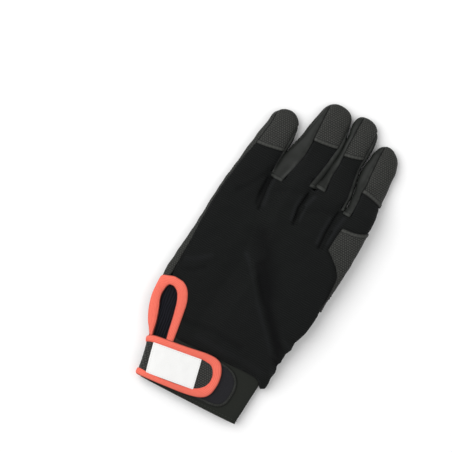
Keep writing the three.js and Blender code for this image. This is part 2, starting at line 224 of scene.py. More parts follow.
# Fingers: where the tip starts and ends and how square it is, and the outline
FINGERS = {
    "little": {"tip": (216, 231, 2.5), **table("left right", [
        (160, -57, -29.8), (180, -56.7, -29.2), (190, -56, -29.0), (200, -54.8, -28.4), (210, -53.5, -27.7),
        (217, -52.5, -28.2), (231, -52.2, -29.4)])},
    "ring": {"tip": (239, 253.9, 2.8), **table("left right", [
        (160, -27.5, 2.4), (180, -28.9, 3.5), (190, -28.9, 4.6), (200, -28.6, 6.5), (210, -26.5, 7.5),
        (220, -24.3, 8.3), (230, -22.8, 7.8), (240, -20.9, 5.9), (253.6, -19.6, 4.8)])},
    "middle": {"tip": (237, 255.6, 2.7), **table("left right", [
        (160, 3.0, 31.5), (180, 3.8, 32.2), (190, 4.9, 32.9), (200, 6.7, 32.2), (210, 7.7, 30.0),
        (220, 8.5, 28.7), (230, 8.0, 29.4), (238, 6.4, 29.3), (245, 4.7, 28.1), (255.6, 2.3, 25.2)])},
    "index": {"tip": (226, 244.3, 2.2), **table("left right", [
        (160, 31.8, 57.9), (180, 32.4, 57.3), (190, 33.0, 56.8), (196, 32.9, 55.5), (203, 31.9, 55.0),
        (210, 30.2, 55.0), (220, 28.8, 54.2), (228, 29.5, 53.6), (236, 29, 52.9), (244.3, 27.1, 50.6)])},
}

# Surfaces


def smooth_step(start, end, x):
    """From 0 at the start to 1 at the end, level at both."""
    t = np.clip((x - start) / (end - start), 0, 1)
    return t * t * (3 - 2 * t)


def mix(a, b, share):
    """A share of the way from one value to another."""
    return a + (b - a) * share


def oval(u, power):
    """The height of a rounded section at U, which runs from -1 to 1 across it."""
    return np.clip(1 - np.abs(u) ** power, 0, None) ** (1 / power)


def lift(x, y):
    """How far the folded thumb lifts the back of the hand, and the palm."""
    edge = FOLD["edge"](y)
    top = FOLD["lift"](y) * smooth_step(edge - FOLD_WIDTH, edge, x)
    return top, top * (1 - FOLD["root"](y) * smooth_step(*ROOT_X, x))


def tip_share(finger, y):
    """How wide a rounded tip is at Y, as a share, and how far along the tip that is."""
    start, end, power = finger["tip"]
    v = np.clip((y - start) / (end - start), 0, 1)
    return (1 - v**power) ** (1 / power), v


def finger_edges(finger, y):
    """The left and the right edge of a finger or the thumb."""
    left, right = finger["left"](y), finger["right"](y)
    share = tip_share(finger, y)[0]
    middle, half = (left + right) / 2, (right - left) / 2 * share
    return middle - half, middle + half


def edges_of(finger):
    """The two edges as functions of Y."""
    return [lambda y, k=k: finger_edges(finger, y)[k] for k in (0, 1)]


def finger_heights(finger, x, y):
    """A finger's upper and lower surface, and a place's distance from its middle in half widths."""
    left, right = finger_edges(finger, y)
    half = np.maximum((right - left) / 2, 1e-3)
    share, v = tip_share(finger, y)
    off = np.abs(x - (left + right) / 2) / half
    bulge = oval(off, FINGER_POWER)
    centre = mix(FINGER_MIDDLE, TIP_HEIGHT, smooth_step(0, 1, v))
    bulge = share**TIP_THINNING * bulge
    upper = centre + (FINGER_TOP - FINGER_MIDDLE) * bulge
    return np.broadcast_arrays(upper, np.maximum(centre - FINGER_DEPTH * bulge, 0), off)


def hand_heights(rows, x, y):
    """The upper and the lower surface that a table gives for the hand or the cuff."""
    left, right = rows["left"](y), rows["right"](y)
    bulge = oval((2 * x - left - right) / (right - left), HAND_POWER)
    top, base = rows["top"](y), rows["base"](y)
    centre = (top + base) / 2
    return mix(centre, top, bulge), np.maximum(centre - (top - base) * HAND_DEPTH * bulge, base)


def heights(x, y):
    """The glove's upper and lower surface at a place."""
    upper, lower = hand_heights(HAND, x, y)
    parts = np.array([finger_heights(finger, x, y) for finger in FINGERS.values()])
    nearest = parts[:, 2].argmin(0)[None]
    finger_top, finger_base = (np.take_along_axis(parts[:, k], nearest, 0)[0] for k in (0, 1))
    apart = smooth_step(*FINGERS_Y, y)
    raised, under = lift(x, y)
    upper = mix(upper, finger_top, apart) + raised
    lower = mix(lower, finger_base, apart) + under
    inset = np.minimum(x - OUTER[0](y), OUTER[1](y) - x)
    within = smooth_step(*WEB_INSET_X, inset) * (1 - smooth_step(*WEB_END_Y, y))
    lack = np.maximum(WEB_HEIGHT - (upper - lower), 0) / 2 * within
    return upper + lack, lower - lack


def cuff_heights(x, y):
    """The cuff's upper and lower surface at a place."""
    return hand_heights(CUFF, x, y)


def thumb_heights(x, y):
    """The thumb's two sides. Towards the index edge its middle is where hand and thumb are one."""
    left, right = finger_edges(THUMB, y)
    half = np.maximum((right - left) / 2, 1e-3)
    bulge = oval((x - (left + right) / 2) / half, HAND_POWER)
    own = THUMB["top"](y) / 2
    joined = smooth_step(*JOINED_X, x) * (1 - smooth_step(*JOINED_Y, y))
    share = tip_share(THUMB, y)[0]
    centre = mix(mix(own, THUMB_JOINED, joined), THUMB_TIP_HEIGHT, smooth_step(*THUMB_TIP_Y, y))
    depth = centre * THUMB_DEPTH * bulge * share**THUMB_TIP_FLATNESS
    return centre + own * bulge * share**TIP_THINNING, np.maximum(centre - depth, 0)


class Skin:
    """One side of a tube as a sheet. S is X over its middle and goes on along the surface round both
    edges. T is Y, and over a rounded tip it goes on along the surface too."""

    def __init__(self, face, back, edges, span, margin, outward=1, tip=None):
        self.face, self.outward, self.tip = face, outward, tip
        self.end = span[1]
        if tip:
            self.end = tip[0] + (tip[1] - tip[0]) * np.pi / 2
        self.ts = np.linspace(span[0], self.end, int(self.end - span[0]) + 1)
        if tip:
            self.ts = np.r_[self.ts[:-1], self.end - TIP_STEPS]
        ys = self.along(self.ts)
        left, right = edges[0](ys), edges[1](ys)
        shares = 1 - (1 - np.linspace(0, 1, RIM_SAMPLES)) ** 2.5
        self.even = np.arange(0, ARC_LIMIT, ARC_STEP)
        self.start, self.rim, self.path = {}, {}, {}
        for side, edge in ((-1, left), (1, right)):
            start = edge - side * np.minimum(margin, (right - left) / 2)
            out = start[:, None] + (edge - start)[:, None] * shares
            y = np.broadcast_to(ys[:, None], out.shape)
            x = np.hstack([out, out[:, ::-1]])
            z = np.hstack([face(out, y), back(out, y)[:, ::-1]])
            arcs = np.cumsum(np.hypot(np.diff(x, axis=1), np.diff(z, axis=1)), axis=1)
            arcs = np.hstack([np.zeros((len(ys), 1)), arcs])
            self.start[side], self.rim[side] = start, arcs[:, RIM_SAMPLES - 1]
            self.path[side] = np.array([[np.interp(self.even, arc, line) for arc, line in zip(arcs, lines)]
                                        for lines in (x, z)])

    def along(self, t):
        """Y at a place along the surface."""
        if not self.tip:
            return t
        start, end, _ = self.tip
        turn = np.clip((t - start) / (end - start), 0, np.pi / 2)
        return np.where(t > start, start + (end - start) * np.sin(turn), t)

    def unwind(self, y):
        """The place along the surface at Y."""
        if not self.tip:
            return y
        start, end, _ = self.tip
        turn = np.arcsin(np.clip((y - start) / (end - start), 0, 1))
        return np.where(y > start, start + (end - start) * turn, y)

    def edge(self, side, t, past=0.0):
        """S at the silhouette, or a distance past it along the surface."""
        start = np.interp(t, self.ts, self.start[side])
        return start + side * (np.interp(t, self.ts, self.rim[side]) + past)

    def point(self, s, t):
        """The place in space of S and T."""
        y = self.along(t)
        x, z = s, self.face(s, y)
        row = np.clip(np.interp(t, self.ts, np.arange(len(self.ts))), 0, len(self.ts) - LAST_CELL)
        i = row.astype(int)
        for side in (-1, 1):
            arc = (s - np.interp(t, self.ts, self.start[side])) * side
            column = np.clip(arc / ARC_STEP, 0, len(self.even) - LAST_CELL)
            k = column.astype(int)
            path = self.path[side]
            near = mix(path[:, i, k], path[:, i, k + 1], column - k)
            far = mix(path[:, i + 1, k], path[:, i + 1, k + 1], column - k)
            bent = mix(near, far, row - i)
            x, z = np.where(arc > 0, bent[0], x), np.where(arc > 0, bent[1], z)
        return np.stack([x, y + 0 * x, z], -1)

    def normal(self, s, t):
        """The direction out of the skin."""
        t_low, t_high = np.maximum(t - NORMAL_REACH, self.ts[0]), np.minimum(t + NORMAL_REACH, self.end)
        across = self.point(s + NORMAL_REACH, t) - self.point(s - NORMAL_REACH, t)
        onward = self.point(s, t_high) - self.point(s, t_low)
        normal = np.cross(across, onward) * self.outward
        return normal / np.maximum(np.linalg.norm(normal, axis=-1, keepdims=True), 1e-9)

    def above(self, s, t, height):
        """A place at a height over the skin."""
        return self.point(s, t) + self.normal(s, t) * height

    def locate(self, points, far=False):
        """S and T of points given by X and Y, on this side of the tube or on the far one."""
        found = []
        for x, y in points:
            t = float(self.unwind(np.float64(y)))
            starts = {side: np.interp(t, self.ts, self.start[side]) for side in (-1, 1)}
            side = 1 if x > (starts[1] + starts[-1]) / 2 else -1
            start = starts[side]
            if not far and (x - start) * side <= 0:
                found.append((x, t))
                continue
            i = int(np.abs(self.ts - t).argmin())
            xs, rim = self.path[side][0][i] * side, int(self.rim[side][i] / ARC_STEP)
            if x * side > xs[rim]:
                arc = np.interp(t, self.ts, self.rim[side])
            elif far:
                arc = np.interp(x * side, xs[rim:][::-1], self.even[rim:][::-1])
            else:
                arc = np.interp(x * side, xs[: rim + 1], self.even[: rim + 1])
            found.append((start + side * arc, t))
        return found


def outer_edge(k):
    """The hand's own edge on one side, which turns into the outer finger's."""
    finger, hand = FINGERS["index" if k else "little"], HAND["right" if k else "left"]

    def edge(y):
        own = finger_edges(finger, np.maximum(y, FINGER_START))[k]
        return mix(hand(y), own, smooth_step(*OUTER_Y, y))

    return edge


OUTER = (outer_edge(0), outer_edge(1))
SKINS = {}


def add_skins(above, below, surface, edges, span, margin, tip=None):
    """The two sides of a tube, the one above and the one below."""
    top, base = (lambda x, y, k=k: surface(x, y)[k] for k in (0, 1))
    SKINS[above] = Skin(top, base, edges, span, margin, 1, tip)
    SKINS[below] = Skin(base, top, edges, span, margin, -1, tip)


add_skins("back", "palm", heights, OUTER, (28, 228), EDGE_MARGIN)
add_skins("cuff_back", "cuff_palm", cuff_heights, (CUFF["left"], CUFF["right"]), (-8, 46), EDGE_MARGIN)
add_skins("thumb_front", "thumb_back", thumb_heights, edges_of(THUMB), (44, 190), WHOLE_MARGIN, THUMB["tip"])
for name, finger in FINGERS.items():
    span = (FINGER_START, finger["tip"][1])
    add_skins(name, name + "_front", heights, edges_of(finger), span, WHOLE_MARGIN, finger["tip"])


def segment_distance(points, line):
    """Distance from each point to a polyline."""
    a, b = line[:-1], line[1:]
    run = b - a
    length = np.maximum((run**2).sum(-1), 1e-9)
    best = np.full(len(points), 1e9)
    for first in range(0, len(points), 4000):
        part = points[first : first + 4000, None]
        share = np.clip(((part - a) * run).sum(-1) / length, 0, 1)
        gap = part - (a + share[..., None] * run)
        best[first : first + 4000] = np.sqrt((gap**2).sum(-1)).min(1)
    return best


def inside(points, loop):
    """Which points lie inside a closed outline."""
    a, b = loop, np.roll(loop, -1, axis=0)
    found = np.zeros(len(points), bool)
    for first in range(0, len(points), 4000):
        x, y = points[first : first + 4000, :1], points[first : first + 4000, 1:]
        spans = (a[:, 1] > y) != (b[:, 1] > y)
        height = np.where(a[:, 1] == b[:, 1], 1, b[:, 1] - a[:, 1])
        crossing = x < a[:, 0] + (b[:, 0] - a[:, 0]) * (y - a[:, 1]) / height
        found[first : first + 4000] = (spans & crossing).sum(1) % 2 == 1
    return found


def waves(x, y, scale, seed):
    """Smooth, uneven undulation of about plus or minus one."""
    random = np.random.default_rng(seed)
    total = 0 * x
    for _ in range(WAVE_COUNT):
        angle, phase, pitch = random.uniform(0, TURN), random.uniform(0, TURN), random.uniform(0.7, 1.5)
        total = total + np.sin((x * np.cos(angle) + y * np.sin(angle)) * TURN / (scale * pitch) + phase)
    return total / WAVE_REACH


# Creases and folds on the back: depth, width, line. Each also paints shade along its valley, or a highlight
# along its ridge
CREASES = [
    (-1.8, 0.9, [(-28.2, 179), (-28.0, 170), (-27.4, 164), (-25, 153)]),
    (-1.3, 0.9, [(-30.2, 177), (-29.8, 168), (-28.2, 156)]),
    (0.8, 1.7, [(-25.4, 178), (-24.8, 168), (-22.6, 157)]),
    (-1.9, 1.0, [(2.6, 181.5), (2.2, 176), (1.8, 168), (3.7, 156)]),
    (-1.1, 0.8, [(4.8, 171), (4.2, 165), (6.2, 157)]),
    (0.8, 1.6, [(-1.2, 178), (-1.4, 169), (0.8, 158)]),
    (0.9, 2.0, [(8.0, 182), (5.6, 173), (6.0, 160)]),
    (-1.9, 1.0, [(30.4, 180), (29.2, 174), (29.0, 162), (29.8, 150)]),
    (-1.1, 0.8, [(31.9, 166), (31.6, 159), (32.6, 150)]),
    (0.8, 1.6, [(26.2, 174), (25.8, 163), (26.8, 152)]),
    (0.9, 2.2, [(35.2, 179), (33.6, 168), (34.0, 156)]),
    (0.8, 2.6, [(-15, 118), (-2, 106), (12, 89.5), (21, 80.5), (30, 72), (37.5, 64), (43, 56.5),
                (46.5, 50)]),
    (-1.3, 8.0, [(-12, 136), (2, 119), (14, 103)]),
    (-1.7, 4.2, [(-3, 115), (12, 98), (24, 85.5), (33, 76.5), (41, 67), (46.5, 58)]),
    (-0.7, 1.4, [(51, 55), (46, 56.5), (41, 59)]),
    (0.6, 1.5, [(51, 59), (46, 60), (42, 62)]),
    (-0.6, 1.5, [(52, 66), (46, 68), (41, 70.5)]),
    (0.5, 1.6, [(53, 71), (47, 73), (42, 75)]),
    (-0.5, 1.6, [(54, 77), (48, 79)]),
    (-0.7, 2.0, [(-52, 84), (-44, 88), (-38, 94)]),
    (0.5, 2.6, [(-54, 92), (-46, 97), (-38, 104)]),
    (0.4, 3.4, [(-16, 45), (4, 45), (24, 46), (40, 45)]),
    (-0.7, 3.0, [(-30, 51), (-8, 55), (16, 54)]),
    (-0.6, 2.4, [(-46, 158), (-40, 166), (-34, 178)]),
    (-0.5, 2.6, [(10, 170), (18, 176), (27, 178)]),
    (-0.5, 2.6, [(-22, 172), (-12, 178), (-2, 179)]),
]


def relief(points):
    """How far the cloth stands out of its smooth shape or falls in, and the painted shade of its folds:
    positive in their valleys, negative as painted highlight on their ridges.
    """
    x, y, z = points.T
    plane = points[:, :2]
    height = sum(size * waves(x, y, scale, seed) for size, scale, seed in UNDULATIONS)
    shade = 0 * x
    for depth, width, line in CREASES:
        near = segment_distance(plane, np.array(line, float))
        fold_and_painted_shade = depth * np.exp(-((near / width) ** 2))
        # A fold's depth also gives painted shade in its valley and painted highlight on its ridge
        height, shade = height + fold_and_painted_shade, shade - fold_and_painted_shade
    fade = smooth_step(*RELIEF_Y, y) * smooth_step(*RELIEF_Z, z - lift(x, y)[0] / 2)
    return height * fade, shade * fade


LAP_RISE, LAP_FADE, LAP_ROUND = 0.4, (3.2, 8), 0.4


def lapped(d):
    """The height of a panel that lies over its neighbour, at a distance from its edge."""
    return LAP_RISE * (1 - smooth_step(*LAP_FADE, d)) - LAP_RISE * np.exp(-((d / LAP_ROUND) ** 2))


# Edge profiles: how a sheet's height changes with the distance from an edge of that kind
PROFILES = {
    "seam": lambda d: -1.05 * np.exp(-((d / 1.25) ** 1.4)),
    "soft": lambda d: -0.55 * np.exp(-((d / 1.6) ** 1.4)),
    "lap": lambda d: lapped(d) + 0.25 * np.exp(-(((d - 2.0) / 0.75) ** 2)),
    "laid": lapped,
    "under": lambda d: -0.8 * (1 - smooth_step(2.5, 6, d)),
    "open": lambda d: 0 * d,
}


def resample(points, spacing, smooth=True):
    """A line through points, smooth between them, with even steps."""
    points = np.asarray(points, float)
    lengths = np.r_[0, np.cumsum(np.linalg.norm(np.diff(points, axis=0), axis=1))]
    count = max(2, int(round(lengths[-1] / spacing)) + 1)
    even = np.linspace(0, lengths[-1], count)
    if smooth and len(points) > 2:
        return np.stack([curve(lengths, column)(even) for column in points.T], -1)
    return np.stack([np.interp(even, lengths, column) for column in points.T], -1)


def spread(line, count):
    """A line with another number of points, at even shares of its own."""
    picks = np.linspace(0, len(line) - 1, count)
    return np.stack([np.interp(picks, np.arange(len(line)), column) for column in line.T], -1)


class Sheet:
    """A panel of cloth or leather: an outline on a skin, filled with an even net. Its runs are pairs of
    an edge profile's name and the points of that part of the outline, in order round the panel."""

    def __init__(self, skin, runs, layer=0.0, spacing=SPACING, detail=None, relieved=True):
        self.skin = SKINS[skin]
        self.layer, self.detail, self.relieved = layer, detail, relieved
        self.lines = [resample(points, spacing * LINE_SHARE) for _, points in runs]
        following = self.lines[1:] + self.lines[:1]
        closed = [np.vstack([line, after[:1]]) for line, after in zip(self.lines, following)]
        self.kinds = [(kind, line) for (kind, _), line in zip(runs, closed)]
        loop = []
        for line in closed:
            for corner in line:
                if not loop or np.linalg.norm(corner - loop[-1]) > spacing * MERGE_SHARE:
                    loop.append(corner)
        if np.linalg.norm(loop[0] - loop[-1]) < spacing * MERGE_SHARE:
            loop.pop()
        self.loop = np.array(loop)
        following = np.roll(self.loop, -1, axis=0)
        self.turn = np.sign((self.loop[:, 0] * following[:, 1] - self.loop[:, 1] * following[:, 0]).sum())
        self.fill(spacing)

    def inward(self, line):
        """The direction into the panel at each point of a line of its outline."""
        run = np.gradient(line, axis=0)
        side = np.stack([-run[:, 1], run[:, 0]], -1) * self.turn
        return side / np.maximum(np.linalg.norm(side, axis=1, keepdims=True), 1e-9)

    def fill(self, spacing):
        """The net: rows of even triangles, with two rings of points just inside the outline."""
        low, high = self.loop.min(0), self.loop.max(0)
        rows = np.arange(low[1], high[1], spacing * TRIANGLE)
        columns = np.arange(low[0], high[0], spacing)
        s, t = np.meshgrid(columns, rows)
        s = s + (np.arange(len(rows)) % 2)[:, None] * spacing / 2
        net = np.stack([s.ravel(), t.ravel()], -1)
        ring = np.vstack([self.loop, self.loop[:1]])
        net = net[inside(net, self.loop)]
        net = net[segment_distance(net, ring) > RING_CLEAR]
        closed = np.vstack([self.loop[-1:], self.loop, self.loop[:1]])
        inward = self.inward(closed)[1:-1]
        for reach in RING_REACHES:
            moved = self.loop + inward * reach
            moved = moved[inside(moved, self.loop)]
            net = np.vstack([moved[segment_distance(moved, ring) > reach * RING_CROWDING], net])
        corners = [Vector(map(float, p)) for p in np.vstack([self.loop, net])]
        made = delaunay_2d_cdt(corners, [], [list(range(len(self.loop)))], 1, 1e-4, False)
        flat = np.array([tuple(p) for p in made[0]])
        self.faces = np.array([face for face in made[2] if len(face) == 3])
        a, b, c = (flat[self.faces[:, k]] for k in range(3))
        area = (b[:, 0] - a[:, 0]) * (c[:, 1] - a[:, 1]) - (b[:, 1] - a[:, 1]) * (c[:, 0] - a[:, 0])
        kept = (np.abs(area) > 1e-7) & inside((a + b + c) / 3, self.loop)
        self.faces = self.faces[kept]
        wrong = area[kept] * self.skin.outward < 0
        self.faces[wrong] = self.faces[wrong][:, ::-1]
        self.flat = flat
        self.points, self.normals, shade = self.surface(flat)
        self.border = segment_distance(flat, ring) < ON_EDGE
        seam, hem = self.nearest(("seam", "soft", "lap", "laid", "under")), self.nearest(("lap",))
        # Marks: distance to seams, distance to hems, and the painted shade and highlight of the folds
        self.marks = np.stack([seam, hem, shade], -1)

    def nearest(self, kinds):
        """Distance from each point of the net to the outline's runs of these kinds."""
        found = [segment_distance(self.flat, line) for kind, line in self.kinds if kind in kinds]
        return np.min([np.full(len(self.flat), FAR), *found], axis=0)

    def surface(self, flat, above=0.0):
        """Points of the panel's outer side, its skin's normals there, and the painted shade of its folds."""
        s, t = flat[:, 0], flat[:, 1]
        smooth, normals = self.skin.point(s, t), self.skin.normal(s, t)
        height = np.full(len(flat), self.layer + above)
        for kind, line in self.kinds:
            height = height + PROFILES[kind](segment_distance(flat, line))
        shade = np.zeros(len(flat))
        if self.relieved:
            stands, shade = relief(smooth)
            height = height + stands
        if self.detail:
            height = height + self.detail(s, t)
        points = smooth + normals * height[:, None]
        points[:, 2] = np.maximum(points[:, 2], 0)
        return points, normals, shade

    def row(self, run, reach, above=0.1, ends=1.2):
        """A line of stitches inside a run of the outline."""
        line = self.lines[run] + self.inward(self.lines[run]) * reach
        line = resample(line, STITCH_STEP, False)
        skip = int(ends / STITCH_STEP)
        return self.surface(line[skip : len(line) - skip], above)[0]


def joined(sheets):
    """Several sheets as one net, with the edges they share welded."""
    points, normals, places, marks, faces = [], [], [], [], []
    tree = None
    total = 0
    for sheet in sheets:
        net, border = sheet.points, sheet.border
        index = np.arange(len(net)) + total
        if tree is not None:
            for k in np.flatnonzero(border):
                _, other, gap = tree.find(net[k])
                if gap < WELD_GAP:
                    index[k] = other
        points.append(net)
        normals.append(sheet.normals)
        places.append(sheet.flat)
        marks.append(sheet.marks)
        faces.append(index[sheet.faces])
        total += len(net)
        rim = [(place, k) for place, k in zip(net[border], index[border])]
        if tree is not None:
            rim += known
        known = rim
        tree = KDTree(len(rim))
        for place, k in rim:
            tree.insert(place, int(k))
        tree.balance()
    points, normals, places, marks, faces = map(np.concatenate, (points, normals, places, marks, faces))
    faces = faces[(faces[:, 0] != faces[:, 1]) & (faces[:, 1] != faces[:, 2]) & (faces[:, 0] != faces[:, 2])]
    return points, normals, places, marks, faces


def thicken(points, normals, faces, wall):
    """A sheet as a closed wall: the same net again on its inner side and a rim round its edges."""
    inner = points - normals * wall
    lift_off = wall * FLOOR_SHARE
    inner[:, 2] = np.maximum(inner[:, 2], np.minimum(points[:, 2] + lift_off, lift_off))
    count = len(points)
    edges = np.vstack([faces[:, [0, 1]], faces[:, [1, 2]], faces[:, [2, 0]]])
    keys = edges[:, 0].astype(np.int64) * count + edges[:, 1]
    back = edges[:, 1].astype(np.int64) * count + edges[:, 0]
    rim = edges[~np.isin(keys, back)]
    a, b = rim[:, 0], rim[:, 1]
    sides = np.vstack([np.stack([b, a, a + count], -1), np.stack([b, a + count, b + count], -1)])
    return np.vstack([points, inner]), np.vstack([faces, faces[:, ::-1] + count, sides])


class Piece:
    """Meshes that make up one subpart, with the material of each."""

    def __init__(self):
        self.points, self.faces, self.slots, self.maps, self.marks = [], [], [], [], []
        self.count = 0

    def add(self, points, faces, slot=0, places=None, marks=None):
        self.points.append(points)
        self.faces += [[int(k) + self.count for k in face] for face in faces]
        self.slots += [slot] * len(faces)
        self.maps.append(points[:, :2] if places is None else places)
        self.marks.append(np.tile([FAR, FAR, 0.0], (len(points), 1)) if marks is None else marks)
        self.count += len(points)

    def add_sheets(self, *sheets, slot=0, wall=WALL):
        points, normals, places, marks, faces = joined(sheets)
        solid, all_faces = thicken(points, normals, faces, wall)
        self.add(solid, all_faces, slot, np.vstack([places, places]), np.vstack([marks, marks]))

    def add_band(self, skin, pairs, low, high, slot=0, count=10):
        points, faces, places, marks = band(SKINS[skin], np.array(pairs, float), low, high, count)
        self.add(points, outward(points, faces), slot, places, marks)

    def finish(self, name, slot, *looks):
        points, places, marks = (np.vstack(parts) for parts in (self.points, self.maps, self.marks))
        mesh = bpy.data.meshes.new(name)
        mesh.from_pydata(((points + TO_FRAME) * MM).tolist(), [], self.faces)
        mesh.polygons.foreach_set("material_index", self.slots)
        mesh.polygons.foreach_set("use_smooth", [True] * len(self.faces))
        corners = np.array([loop.vertex_index for loop in mesh.loops])
        layer = mesh.uv_layers.new(name="places")
        layer.uv.foreach_set("vector", places[corners].astype(np.float32).ravel())
        for label, values in zip(MARKS, marks.astype(np.float32).T):
            mesh.attributes.new(label, "FLOAT", "POINT").data.foreach_set("value", values.copy())
        mesh.validate()
        for look in looks:
            mesh.materials.append(bpy.data.materials[look])
        piece = placed(name, mesh)
        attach(piece, "root")
        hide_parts(name)


def band(skin, pairs, low, high, count):
    """A folded tape between the two lines that pairs of places give, domed across and closed underneath."""
    outer, inner = pairs[:, :2], pairs[:, 2:]
    steps = max(8, int(np.linalg.norm(np.diff(resample(outer, 1.0), axis=0), axis=1).sum()))
    sides = [spread(resample(line, 0.25), steps) for line in (outer, inner)]
    across = (1 - np.cos(np.linspace(0, np.pi, count))) / 2
    profile = [(w, oval(2 * w - 1, TAPE_POWER)) for w in across]
    profile += [(w, TAPE_UNDERSIDE) for w in across[::-1]]
    points, places, edges = [], [], []
    length = 0.0
    for k, (start, end) in enumerate(zip(*sides)):
        if k:
            length += np.linalg.norm((start + end) / 2 - previous)
        previous = (start + end) / 2
        width = np.linalg.norm(end - start)
        ring = np.array([mix(start, end, w) for w, _ in profile])
        height = np.array([mix(low, high, h) for _, h in profile])
        points.append(skin.above(ring[:, 0], ring[:, 1], height[:, None]))
        places.append(np.array([(length, w * width if h >= 0 else -w * width) for w, h in profile]))
        # The distance to the tape's edges stands as its seam mark, so a line of painted shade runs along
        # them
        edges += [(min(w, 1 - w) * width, FAR, 0.0) for w, _ in profile]
    ring = len(profile)
    faces = []
    for k in range(steps - 1):
        for j in range(ring):
            a, b = k * ring + j, k * ring + (j + 1) % ring
            faces.append([a, b, b + ring, a + ring])
    faces.append([(steps - 1) * ring + j for j in range(ring)])
    faces.append(list(range(ring))[::-1])
    points = np.vstack(points)
    points[:, 2] = np.maximum(points[:, 2], 0)
    return points, faces, np.vstack(places), np.array(edges)


def outward(points, faces):
    """The faces turned to point out of a closed net."""
    volume = 0.0
    for face in faces:
        for k in range(1, len(face) - 1):
            volume += points[face[0]] @ np.cross(points[face[k]], points[face[k + 1]])
    return faces if volume > 0 else [list(face)[::-1] for face in faces]


def ruled(grid, wall):
    """A net given by rows of points as a closed wall."""
    rows, columns = grid.shape[:2]
    along, across = np.gradient(grid, axis=0), np.gradient(grid, axis=1)
    normals = np.cross(across, along).reshape(-1, 3)
    normals /= np.maximum(np.linalg.norm(normals, axis=1, keepdims=True), 1e-9)
    faces = []
    for j in range(rows - 1):
        for k in range(columns - 1):
            a = j * columns + k
            faces += [(a, a + 1, a + 1 + columns), (a, a + 1 + columns, a + columns)]
    points, all_faces = thicken(grid.reshape(-1, 3), normals, np.array(faces), wall)
    return points, outward(points, all_faces)


# Nodes


def make(tree, kind, inputs=None, **settings):
    """A node with its settings, and with its inputs linked or set."""
    node = tree.nodes.new(kind)
    for key, value in settings.items():
        setattr(node, key, value)
    for key, value in (inputs or {}).items():
        if isinstance(value, bpy.types.NodeSocket):
            tree.links.new(value, node.inputs[key])
        else:
            node.inputs[key].default_value = value
    return node


def sockets(tree, direction, kinds):
    """A tree's own sockets on one side, each with its kind."""
    return [tree.interface.new_socket(label, in_out=direction, socket_type="NodeSocket" + kind)
            for label, kind in kinds.items()]


# Stitches


def stitch_tree():
    """A line becomes a row of short thread capsules."""
    tree = bpy.data.node_groups.new("thread rows", "GeometryNodeTree")
    sockets(tree, "INPUT", {"Lines": "Geometry", "Pitch": "Float", "Length": "Float", "Thickness": "Float",
                            "Thread": "Material"})
    sockets(tree, "OUTPUT", {"Rows": "Geometry"})
    start = make(tree, "NodeGroupInput").outputs
    lines = make(tree, "GeometryNodeMeshToCurve", {"Mesh": start["Lines"]})
    places = make(tree, "GeometryNodeResampleCurve", mode="LENGTH",
                  inputs={"Curve": lines.outputs["Curve"], "Length": start["Pitch"]})
    ball = make(tree, "GeometryNodeMeshUVSphere", {"Segments": 6, "Rings": 5, "Radius": 0.5})
    size = make(tree, "ShaderNodeCombineXYZ",
                {"X": start["Length"], "Y": start["Thickness"], "Z": start["Thickness"]})
    stitch = make(tree, "GeometryNodeTransform",
                  {"Geometry": ball.outputs["Mesh"], "Scale": size.outputs["Vector"]})
    tangent = make(tree, "GeometryNodeInputTangent")
    turn = make(tree, "FunctionNodeAlignRotationToVector", {"Vector": tangent.outputs["Tangent"]}, axis="X")
    row = make(tree, "GeometryNodeInstanceOnPoints",
               {"Points": places.outputs["Curve"], "Instance": stitch.outputs["Geometry"],
                "Rotation": turn.outputs["Rotation"]})
    real = make(tree, "GeometryNodeRealizeInstances", {"Geometry": row.outputs["Instances"]})
    smooth = make(tree, "GeometryNodeSetShadeSmooth", {"Geometry": real.outputs["Geometry"]})
    paint = make(tree, "GeometryNodeSetMaterial",
                 {"Geometry": smooth.outputs["Geometry"], "Material": start["Thread"]})
    make(tree, "NodeGroupOutput", {"Rows": paint.outputs["Geometry"]})
    return tree


STITCHES = stitch_tree()


def add_stitches(piece, rows, thread, slot=1, pitch=2.5, length=1.9, thickness=0.5):
    """Rows of stitches along lines on the glove, as part of a piece."""
    if not rows:
        return
    points, edges = [], []
    for row in rows:
        start = len(points)
        points += row.tolist()
        edges += [(k, k + 1) for k in range(start, len(points) - 1)]
    mesh = bpy.data.meshes.new("rows")
    mesh.from_pydata(points, edges, [])
    carrier = placed("rows", mesh)
    modifier = carrier.modifiers.new("rows", "NODES")
    modifier.node_group = STITCHES
    values = {"Pitch": pitch, "Length": length, "Thickness": thickness, "Thread": bpy.data.materials[thread]}
    for item in STITCHES.interface.items_tree:
        if item.name in values:
            modifier[item.identifier] = values[item.name]
    bpy.context.view_layer.update()
    made = bpy.data.meshes.new_from_object(carrier.evaluated_get(bpy.context.evaluated_depsgraph_get()))
    places = np.array([corner.co for corner in made.vertices], float).reshape(-1, 3)
    piece.add(places, [list(face.vertices) for face in made.polygons], slot)
    bpy.data.objects.remove(carrier)
    bpy.data.meshes.remove(made)


def sew(name, slot, cloth, *sheets, wall=WALL, solids=(), rows=(), thread=None, **stitches):
    """A piece made of sheets and ready solids, with rows of stitches if it has a thread."""
    piece = Piece()
    for sheet in sheets:
        piece.add_sheets(sheet, wall=wall)
    for points, faces in solids:
        piece.add(points, faces)
    add_stitches(piece, rows, thread, **stitches)
    piece.finish(name, slot, *([cloth, thread] if thread else [cloth]))


# Materials


def tone(red, green, blue):
    """A colour as seen on a screen, 0 to 255, as the linear values a shader takes."""
    shares = np.array([red, green, blue]) / 255
    linear = np.where(shares <= 0.04045, shares / 12.92, ((shares + 0.055) / 1.055) ** 2.4)
    return (*map(float, linear), 1.0)


# The black of the painted shade along seams, hem grooves, tape edges and in creases
PAINTED_SHADE_BLACK = tone(5, 5, 6)
PEBBLE_TURN = 7.255
HEM_WIDTH = 2.9


